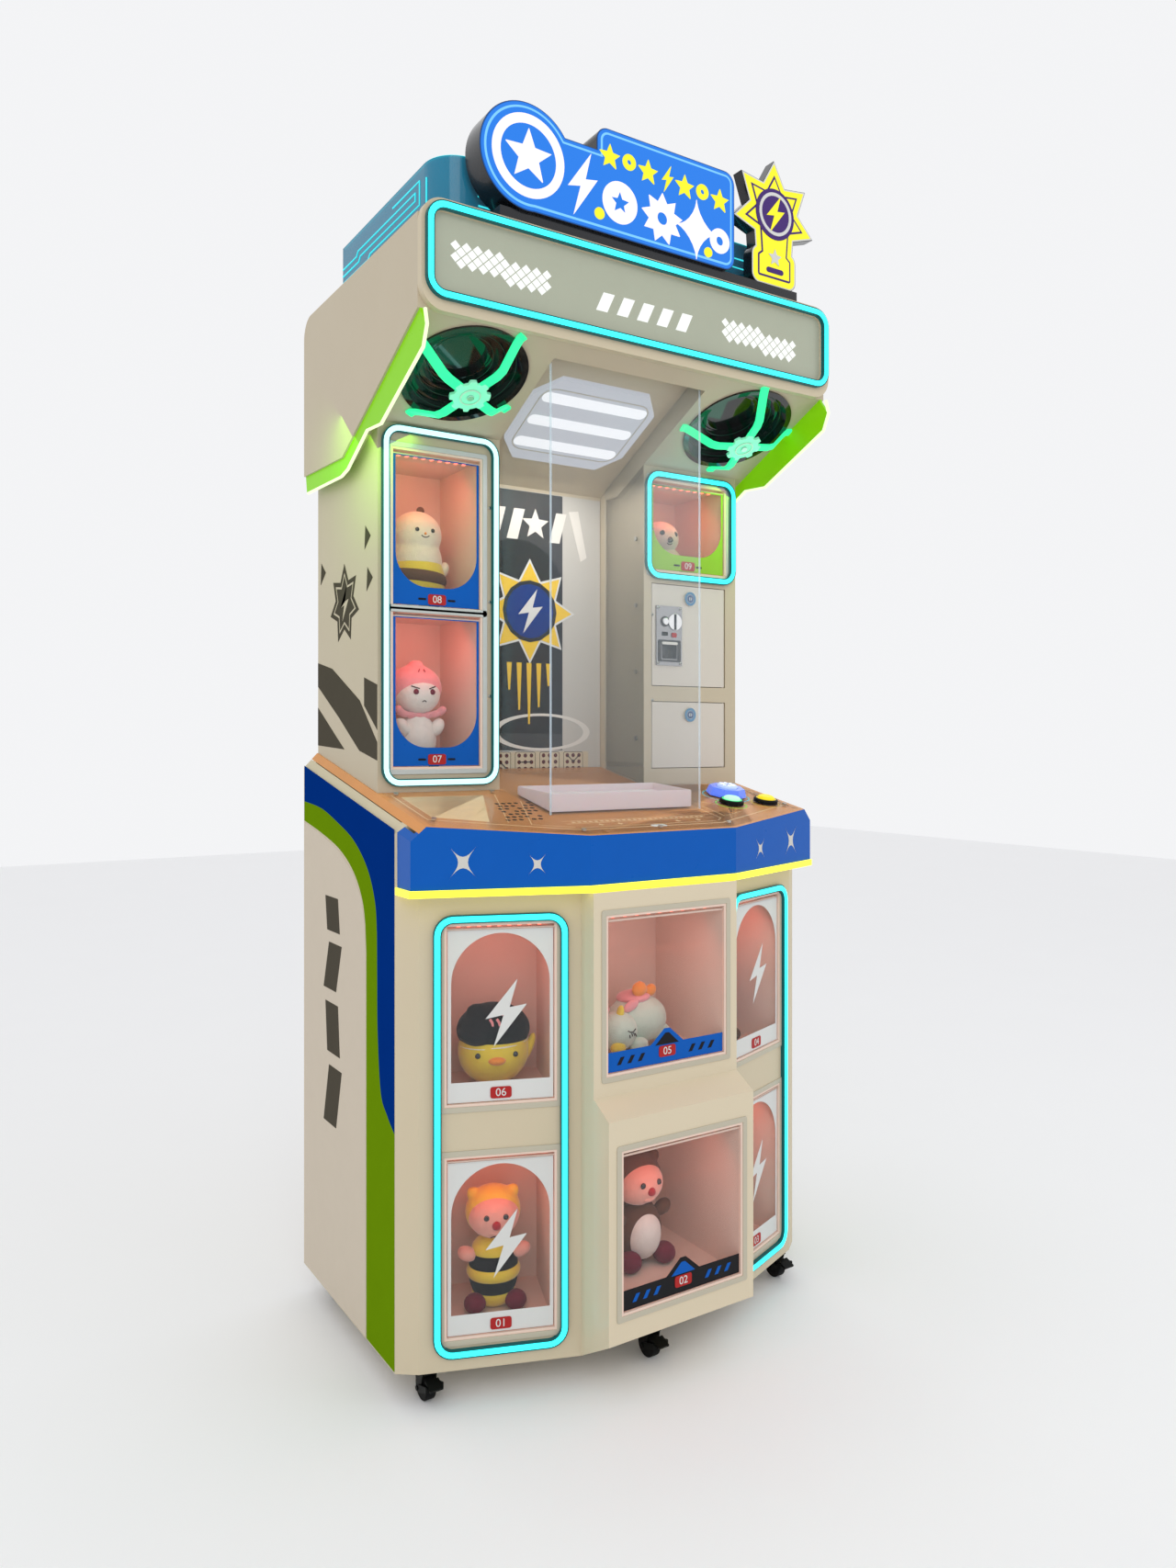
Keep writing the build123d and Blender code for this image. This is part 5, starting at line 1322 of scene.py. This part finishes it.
def button_details():
    """Rings round the button collars whose glow is a painted highlight, dished caps, and the clear faceted
    skirt of the drop button with facets whose pale glow is a painted highlight.
    """
    for name, x, depth, look, cap in (("start", 275, 474, "button_collar_highlight_green", "button_white"),
                                      ("select", 364, 477, "button_collar_highlight_amber", "button_yellow")):
        face = deck_spot(x, depth)
        # Collar ring whose glow is a painted highlight.
        loops = [disc_loop(0.0205, steps=40), disc_loop(0.0178, steps=40)]
        flat(f"{name}_ring", loops, face, look, CABINET, lift=8.05, thick=0.5)
        loops = [disc_loop(0.0125, steps=40), disc_loop(0.0112, steps=40)]
        flat(f"{name}_cap_line", loops, face, cap, f"{name}_button", lift=13.0, thick=0.5)
    face = deck_spot(312, 413)
    bm = bmesh.new()
    rings = []
    for reach, height in ((42.0, 0.4), (41.0, 5.0), (37.4, 15.6), (35.6, 16.9), (24.2, 16.9), (23.6, 16.4)):
        rings.append([bm.verts.new((reach * MM * math.cos(math.radians(45 * k)),
                                    reach * MM * math.sin(math.radians(45 * k)),
                                    height * MM)) for k in range(8)])
    for r0, r1 in zip(rings, rings[1:]):
        for k in range(8):
            bm.faces.new((r0[k], r0[(k + 1) % 8], r1[(k + 1) % 8], r1[k]))
    mesh = bpy.data.meshes.new("drop_skirt")
    bm.to_mesh(mesh)
    bm.free()
    mesh.transform(face.matrix(0))
    finish_piece("drop_skirt", mesh, "button_skirt", CABINET)
    # Facets on the drop button; their pale glow is a painted highlight.
    for k in range(8):
        a = math.radians(45 * k + 22.5)
        facet = [(0.013 * math.cos(a - 0.3), 0.013 * math.sin(a - 0.3)),
                 (0.019 * math.cos(a), 0.019 * math.sin(a)),
                 (0.013 * math.cos(a + 0.3), 0.013 * math.sin(a + 0.3)),
                 (0.006 * math.cos(a), 0.006 * math.sin(a))]
        flat(f"drop_facet_{k}", [facet], face, "button_facet_highlight", "drop_button", lift=21.9, thick=0.5,
             bevel=0.15)


# ---- Plush prizes ----
def plush_look(name, colour, tint=0.10):
    sheen = 0.6 if max(colour) > 0.3 else 0.10
    return surface(name, colour, 0.92, tint=tint, grain=90, bump=0.9, bump_grain=520, spread=0.06,
                   Specular_IOR_Level=0.05, Sheen_Weight=sheen, Sheen_Roughness=0.45, Sheen_Tint=(1, 1, 1, 1))


plush_looks = {
    "pl_yellow": ((0.80, 0.62, 0.06)), "pl_black": ((0.008, 0.008, 0.010)), "pl_cream": ((0.86, 0.76, 0.60)),
    "pl_white": ((0.84, 0.82, 0.76)), "pl_pink": ((0.86, 0.36, 0.38)), "pl_skin": ((0.84, 0.42, 0.34)),
    "pl_mint": ((0.62, 0.74, 0.62)), "pl_brown": ((0.13, 0.062, 0.035)), "pl_wine": ((0.17, 0.012, 0.035)),
    "pl_orange": ((0.86, 0.30, 0.05)), "pl_grey": ((0.30, 0.32, 0.34)), "pl_blue": ((0.16, 0.32, 0.62)),
    "pl_nose": ((0.40, 0.02, 0.03)),
}
for plush_name, plush_colour in plush_looks.items():
    looks[plush_name] = plush_look(plush_name, plush_colour)
looks["eye"] = surface("toy_eye", (0.01, 0.01, 0.012), 0.12, tint=0.05, Coat_Weight=1.0)
looks["thread"] = surface("toy_thread", (0.05, 0.02, 0.02), 0.7, tint=0.1, grain=200, bump=0.5,
                          bump_grain=1500)


# A scene of its own, so that simulating and baking one piece doesn't evaluate the others.
bench = bpy.data.scenes.new("bench")


def ball_mesh(parts, voxel):
    """One closed skin round ellipsoids, each a middle, three radii and a tilt about the view axis."""
    bm = bmesh.new()
    for middle, radii, tilt in parts:
        m = Matrix.Translation(Vector(middle) * MM) @ Matrix.Rotation(math.radians(tilt), 4, "Y")
        m = m @ Matrix.Diagonal((*[r * MM for r in radii], 1))
        bmesh.ops.create_icosphere(bm, subdivisions=4, radius=1.0, matrix=m)
    mesh = bpy.data.meshes.new("skin")
    bm.to_mesh(mesh)
    bm.free()
    holder = bpy.data.objects.new("skin", mesh)
    bench.collection.objects.link(holder)
    remesh = holder.modifiers.new("skin", "REMESH")
    remesh.mode = "VOXEL"
    remesh.voxel_size = voxel * MM
    soften = holder.modifiers.new("soften", "SMOOTH")
    soften.factor = 0.6
    soften.iterations = 5
    return baked(holder)


def baked(holder):
    """Mesh of an object with its modifiers applied; the object is removed."""
    layer = bench.view_layers[0]
    layer.update()
    mesh = bpy.data.meshes.new_from_object(holder.evaluated_get(layer.depsgraph))
    bpy.data.objects.remove(holder)
    return mesh


def stuffed(mesh, cap=4.0, pressure=3.0):
    """Fills a fabric skin by cloth simulation under pressure; no point moves further than cap."""
    before = [v.co.copy() for v in mesh.vertices]
    low = min(p.z for p in before)
    holder = bpy.data.objects.new("stuffed", mesh)
    bench.collection.objects.link(holder)
    cloth = holder.modifiers.new("cloth", "CLOTH")
    settings = cloth.settings
    settings.quality = 4
    settings.use_pressure = True
    settings.uniform_pressure_force = pressure
    settings.tension_stiffness = 8
    settings.compression_stiffness = 8
    settings.effector_weights.gravity = 0
    cloth.point_cache.frame_start = 1
    cloth.point_cache.frame_end = 16
    for step in range(1, 17):
        bench.frame_set(step)
    result = baked(holder)
    bench.frame_set(1)
    for v, old in zip(result.vertices, before):
        move = v.co - old
        if move.length > cap * MM:
            move = move.normalized() * cap * MM
        v.co = old + move
        v.co.z = max(v.co.z, low)
    return result


def piled(mesh, height=0.55, grain=190.0):
    """Uneven pile of a plush fabric: points move along their normals by seeded noise."""
    for v in mesh.vertices:
        p = v.co * grain
        v.co += v.normal * (field.noise(p) * 0.7 + field.noise(p * 2.3) * 0.3) * height * MM
    for polygon in mesh.polygons:
        polygon.use_smooth = True
    return mesh


class Toy:
    """A plush prize: right, towards the viewer and up, in mm from the middle of its foot."""

    def __init__(self, bay):
        face = door_face(bay)
        solids = islands("prize_toys")
        near = min(solids, key=lambda s: (centre(s) - face.middle).length)
        self.bay = bay
        self.points = near
        low = min(p.z for p in near)
        middle = centre(near)
        self.turn = Matrix((face.right, face.out, UP)).transposed().to_4x4()
        if self.turn.determinant() < 0:
            self.turn = Matrix((face.right, -face.out, UP)).transposed().to_4x4()
        self.turn.translation = Vector((middle.x, middle.y, low))
        faces_out = (self.turn.to_3x3() @ Vector((0, 1, 0))).dot(face.out) > 0
        self.flip = 1 if self.turn.determinant() > 0 and faces_out else -1
        self.count = 0

    def place(self, mesh):
        mesh.transform(self.turn)
        return mesh

    def turned(self, parts):
        return [((x, y * self.flip, z), r, tilt * self.flip) for (x, y, z), r, tilt in parts]

    def soft(self, parts, look, voxel=3.2, pile=0.55, pad=True):
        """Stuffed part made of ellipsoids."""
        mesh = ball_mesh(self.turned(parts), voxel)
        if pad:
            mesh = stuffed(mesh)
        self.place(mesh)
        mesh.update()
        piled(mesh, pile)
        name = f"toy_{self.bay}_{self.count}"
        self.count += 1
        piece = finish_piece(name, mesh, look, CABINET)
        smooth = piece.modifiers.new("fine", "SUBSURF")
        smooth.levels = smooth.render_levels = 1
        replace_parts(piece, "prize_toys")
        return piece

    def eye(self, x, y, z, radius=5.0, look="eye", depth=0.6, tall=1.0):
        bm = bmesh.new()
        m = Matrix.Translation(Vector((x, y * self.flip, z)) * MM)
        m = m @ Matrix.Diagonal((radius * MM, depth * radius * MM, radius * tall * MM, 1))
        bmesh.ops.create_uvsphere(bm, u_segments=20, v_segments=12, radius=1.0, matrix=m)
        for v in bm.verts:
            offset = (v.co - m.translation) / (radius * MM)
            v.co += Vector((0, 0, 0.04 * radius * MM * math.cos(3 * offset.x)))
        mesh = bpy.data.meshes.new("eye")
        bm.to_mesh(mesh)
        bm.free()
        for polygon in mesh.polygons:
            polygon.use_smooth = True
        self.place(mesh)
        self.count += 1
        finish_piece(f"toy_{self.bay}_{self.count}_bead", mesh, look, CABINET)

    def stitch(self, points, radius=0.9, look="thread"):
        placed = [self.turn @ (Vector((x, y * self.flip, z)) * MM) for x, y, z in points]
        self.count += 1
        tube(f"toy_{self.bay}_{self.count}_stitch", placed, radius * MM, look)


def centre(points):
    low = Vector([min(p[i] for p in points) for i in range(3)])
    high = Vector([max(p[i] for p in points) for i in range(3)])
    return (low + high) / 2


def surface_y(parts, x, z):
    """How far forward the parts reach at a place across and up."""
    best = -999
    for (cx, cy, cz), (rx, ry, rz), _ in parts:
        k = 1 - ((x - cx) / rx) ** 2 - ((z - cz) / rz) ** 2
        if k > 0:
            best = max(best, cy + ry * math.sqrt(k))
    return best


def smile(toy, parts, x, z, width, drop, out=0.4):
    points = []
    for i in range(9):
        t = -1 + i / 4
        px, pz = x + width * t, z + drop * t * t
        points.append((px, surface_y(parts, px, pz) + out, pz))
    toy.stitch(points)


def toy_01():
    """Bear in a striped suit with a yellow hood rim."""
    toy = Toy("01")
    head = [((0, 2, 160), (46, 40, 40), 0)]
    toy.soft(head, "pl_skin")
    toy.soft([((0, -7, 164), (50, 38, 46), 0), ((-36, -8, 196), (12, 9, 12), 0),
              ((36, -8, 196), (12, 9, 12), 0)],
             "pl_yellow")
    toy.soft([((0, 0, 62), (45, 38, 62), 0)], "pl_black")
    for z, r in ((100, 39.5), (62, 49), (22, 39)):
        toy.soft([((0, 0, z), (r, r * 0.84, 25), 0)], "pl_yellow", pad=False)
    for side in (-1, 1):
        toy.soft([((side * 48, 8, 96), (19, 14, 13), side * 20)], "pl_skin")
        toy.soft([((side * 36, 26, 16), (20, 20, 17), 0)], "pl_wine")
        toy.eye(side * 17, surface_y(head, side * 17, 168) + 0.5, 168, 5)
    toy.eye(0, surface_y(head, 0, 155), 155, 8, "pl_nose", 0.8)
    toy.soft([((0, surface_y(head, 0, 141) - 5, 141), (14, 9, 7), 0)], "pl_skin", pad=False)
    smile(toy, head, 0, 134, 9, -3, 3.5)


def toy_02():
    """Bear with a dark hood and a white belly."""
    toy = Toy("02")
    head = [((-2, 6, 148), (48, 42, 40), 0)]
    toy.soft(head, "pl_skin")
    toy.soft([((-2, -6, 152), (54, 42, 47), 0), ((-42, -6, 184), (14, 10, 13), 0),
              ((40, -6, 184), (14, 10, 13), 0)],
             "pl_brown")
    toy.soft([((0, 0, 58), (48, 40, 58), 0)], "pl_brown")
    toy.soft([((0, 14, 56), (38, 33, 46), 0)], "pl_white")
    for side in (-1, 1):
        toy.soft([((side * 50, 10, 92), (20, 14, 13), side * 28)], "pl_brown")
        toy.soft([((side * 38, 32, 19), (22, 22, 19), 0)], "pl_wine")
        toy.eye(side * 18, surface_y(head, side * 18, 156) + 0.5, 156, 5.5)
    toy.eye(-1, surface_y(head, -1, 143), 143, 8, "pl_nose", 0.8)
    toy.soft([((-1, surface_y(head, -1, 128) - 5, 128), (15, 9, 7), 0)], "pl_skin", pad=False)
    smile(toy, head, -1, 121, 9, -3, 3.5)


def toy_03():
    """Grey rabbit."""
    toy = Toy("03")
    head = [((0, 2, 120), (44, 38, 36), 0)]
    toy.soft(head, "pl_grey")
    toy.soft([((-20, -6, 160), (11, 8, 28), -10), ((20, -6, 160), (11, 8, 28), 10)], "pl_grey")
    toy.soft([((0, 0, 48), (42, 36, 48), 0)], "pl_grey")
    toy.soft([((0, 16, 46), (30, 24, 34), 0)], "pl_white")
    for side in (-1, 1):
        toy.soft([((side * 42, 10, 72), (14, 12, 20), side * 24)], "pl_grey")
        toy.soft([((side * 28, 30, 14), (17, 19, 14), 0)], "pl_grey")
        toy.eye(side * 16, surface_y(head, side * 16, 126) + 0.5, 126, 4.5)
    toy.eye(0, surface_y(head, 0, 114), 114, 4, "pl_pink", 0.8)
    smile(toy, head, 0, 108, 7, 3)


def toy_04():
    """Brown bear with a cream muzzle."""
    toy = Toy("04")
    head = [((0, 2, 128), (42, 37, 35), 0)]
    toy.soft(head, "pl_brown")
    toy.soft([((-32, -4, 158), (12, 8, 12), 0), ((32, -4, 158), (12, 8, 12), 0)], "pl_brown")
    toy.soft([((0, 0, 52), (43, 37, 52), 0)], "pl_blue")
    toy.soft([((0, 30, 120), (18, 13, 13), 0)], "pl_cream")
    for side in (-1, 1):
        toy.soft([((side * 42, 10, 76), (14, 12, 22), side * 24)], "pl_blue")
        toy.soft([((side * 28, 28, 15), (17, 20, 15), 0)], "pl_brown")
        toy.eye(side * 16, surface_y(head, side * 16, 136) + 0.5, 136, 4.5)
    toy.eye(0, 42, 124, 5, "eye", 0.8)


def toy_05():
    """Lying mint lamb with pink ears and small orange wings."""
    toy = Toy("05")
    body = [((18, -6, 50), (62, 44, 46), 0)]
    toy.soft(body, "pl_mint")
    head = [((-44, 22, 42), (38, 32, 36), 0)]
    toy.soft(head, "pl_mint")
    toy.soft([((62, 8, 22), (22, 18, 18), 0), ((-4, 32, 14), (20, 14, 14), 0)], "pl_mint")
    toy.soft([((12, -8, 92), (34, 32, 12), 4)], "pl_pink", pad=False)
    toy.soft([((-16, 24, 84), (20, 7, 10), 24)], "pl_pink")
    toy.soft([((-62, 6, 78), (11, 6, 12), -20)], "pl_pink")
    toy.soft([((10, 14, 110), (17, 9, 15), 10), ((40, 8, 104), (14, 8, 12), 20)], "pl_orange")
    toy.soft([((-44, 30, 76), (8, 8, 16), -12)], "pl_yellow")
    toy.soft([((-58, 44, 18), (17, 11, 12), 0)], "pl_yellow")
    for i in range(4):
        x = -40 + 5 * i
        z = 44 - 1.3 * (i - 1.5) ** 2
        y = surface_y(head, x, z) + 0.5
        toy.stitch([(x, y, z), (x + 1.5 + i * 0.5, y, z - 6)])
    points = [(-43 + 5 * i, 45 - 0.9 * (i - 2) ** 2 * -1) for i in range(5)]
    toy.stitch([(x, surface_y(head, x, z) + 0.4, z) for x, z in points])


def toy_06():
    """Round yellow chick in a black cap."""
    toy = Toy("06")
    body = [((0, 0, 62), (64, 52, 62), 0)]
    toy.soft(body, "pl_yellow")
    toy.soft([((0, -2, 98), (66, 55, 46), 0), ((-34, 14, 92), (34, 40, 14), -12),
              ((-30, 8, 132), (20, 16, 14), 0)],
             "pl_black")
    toy.soft([((0, 0, 76), (65.5, 54.5, 4.5), 3)], "pl_white", pad=False)
    toy.soft([((0, 48, 54), (17, 13, 8), 0)], "pl_orange")
    toy.soft([((62, 4, 62), (9, 12, 30), -24)], "pl_yellow")
    toy.soft([((-26, 22, 5), (19, 20, 5), 0), ((26, 22, 5), (19, 20, 5), 0)], "pl_orange")
    for side in (-1, 1):
        toy.eye(side * 33, surface_y(body, side * 33, 63) + 0.5, 63, 5)
    cap = [((0, -2, 98), (66, 55, 46), 0)]
    for x in (-8, 4):
        y = surface_y(cap, x, 122)
        toy.stitch([(x - 4, y, 126), (x, y + 1.5, 120), (x + 1, y + 2.5, 114)], 2.4, "pl_pink")
    toy.stitch([(10, surface_y(cap, 10, 130), 130), (26, surface_y(cap, 26, 134) + 3, 134),
                (38, surface_y(cap, 38, 126), 126)],
               1.6, "pl_pink")


def toy_07():
    """White toy with a pink bonnet."""
    toy = Toy("07")
    head = [((0, 2, 138), (47, 40, 40), 0)]
    toy.soft(head, "pl_white")
    toy.soft([((0, -6, 150), (54, 43, 46), 0), ((0, -2, 196), (15, 14, 8), 0)], "pl_pink")
    frill = []
    for i in range(9):
        a = math.radians(180 + 180 * i / 8)
        frill.append(((46 * math.cos(a), 22 + 8 * math.sin(a), 108 + 12 * math.sin(a)), (9, 9, 8), 0))
    toy.soft(frill, "pl_pink")
    toy.soft([((0, 0, 50), (40, 36, 54), 0)], "pl_white")
    for side in (-1, 1):
        toy.soft([((side * 36, 18, 74), (13, 15, 20), side * -30)], "pl_white")
        toy.soft([((side * 28, 28, 16), (19, 22, 16), 0)], "pl_white")
        y = surface_y(head, side * 17, 142) + 0.4
        toy.eye(side * 17, y, 141, 5.5, "pl_wine", 0.5)
        toy.stitch([(side * 10, y + 1.0, 147), (side * 25, surface_y(head, side * 25, 152) + 1.0, 152)], 1.1)
    smile(toy, head, 0, 124, 4, -2)
    toy.stitch([(-7, surface_y([((0, -6, 150), (54, 43, 46), 0)], -7, 180) + 1, 180), (-4, 26, 185)], 1.2,
               "pl_nose")
    toy.stitch([(7, surface_y([((0, -6, 150), (54, 43, 46), 0)], 7, 180) + 1, 180), (4, 26, 185)], 1.2,
               "pl_nose")


def toy_08():
    """Cream toy in a yellow jumper with a dark band."""
    toy = Toy("08")
    head = [((0, 2, 148), (50, 42, 46), 0)]
    toy.soft(head + [((0, 0, 100), (52, 42, 50), 0)], "pl_cream")
    toy.soft([((10, -2, 197), (9, 9, 9), 0)], "pl_brown")
    toy.soft([((0, 0, 62), (58, 48, 62), 0)], "pl_yellow")
    toy.soft([((0, 1, 64), (61.5, 51, 27), -4)], "pl_brown", pad=False)
    for side in (-1, 1):
        toy.soft([((side * 53, 10, 84), (11, 13, 17), side * -20)], "pl_cream")
        toy.soft([((side * 26, 30, 13), (18, 19, 13), 0)], "pl_cream")
        toy.eye(side * 16, surface_y(head, side * 16, 152) + 0.4, 152, 4.2)
    smile(toy, head, 0, 138, 8, 3.5)
    toy.eye(0, surface_y(head, 0, 145), 145, 2.6, "pl_orange", 0.8)


def toy_09():
    """White puppy with dark eye patches."""
    toy = Toy("09")
    head = [((-8, 4, 86), (44, 40, 38), 0)]
    toy.soft(head, "pl_white")
    toy.soft([((-46, -2, 100), (10, 12, 22), 14), ((30, -2, 100), (10, 12, 22), -14)], "pl_grey")
    toy.soft([((0, 0, 36), (46, 40, 38), 0)], "pl_white")
    for side in (-1, 1):
        x = -8 + side * 17
        y = surface_y(head, x, 92)
        toy.soft([((x, y - 3, 92), (9, 5, 8), 0)], "pl_black", pad=False)
        toy.soft([((side * 26, 28, 14), (17, 20, 14), 0)], "pl_white")
    toy.eye(-8, surface_y(head, -8, 78), 78, 7, "eye", 0.7)
    smile(toy, head, -8, 68, 7, 3)


def make_toys():
    for build in (toy_01, toy_02, toy_03, toy_04, toy_05, toy_06, toy_07, toy_08, toy_09):
        build()


make_camera()
make_studio()
dress_frame()
light_cores()
door_prints()
door_surrounds()
side_prints()
deck_prints()
fascia_stars()
backboard_prints()
header_prints()
sign_prints()
emblem_prints()
fence_lines()
trim_edges()
ceiling_tubes()
prize_tray()
cover_edges()
speaker_details()
object_lights()
lock_details()
coin_details()
wall_screws()
button_details()
make_toys()
bpy.data.scenes.remove(bench)
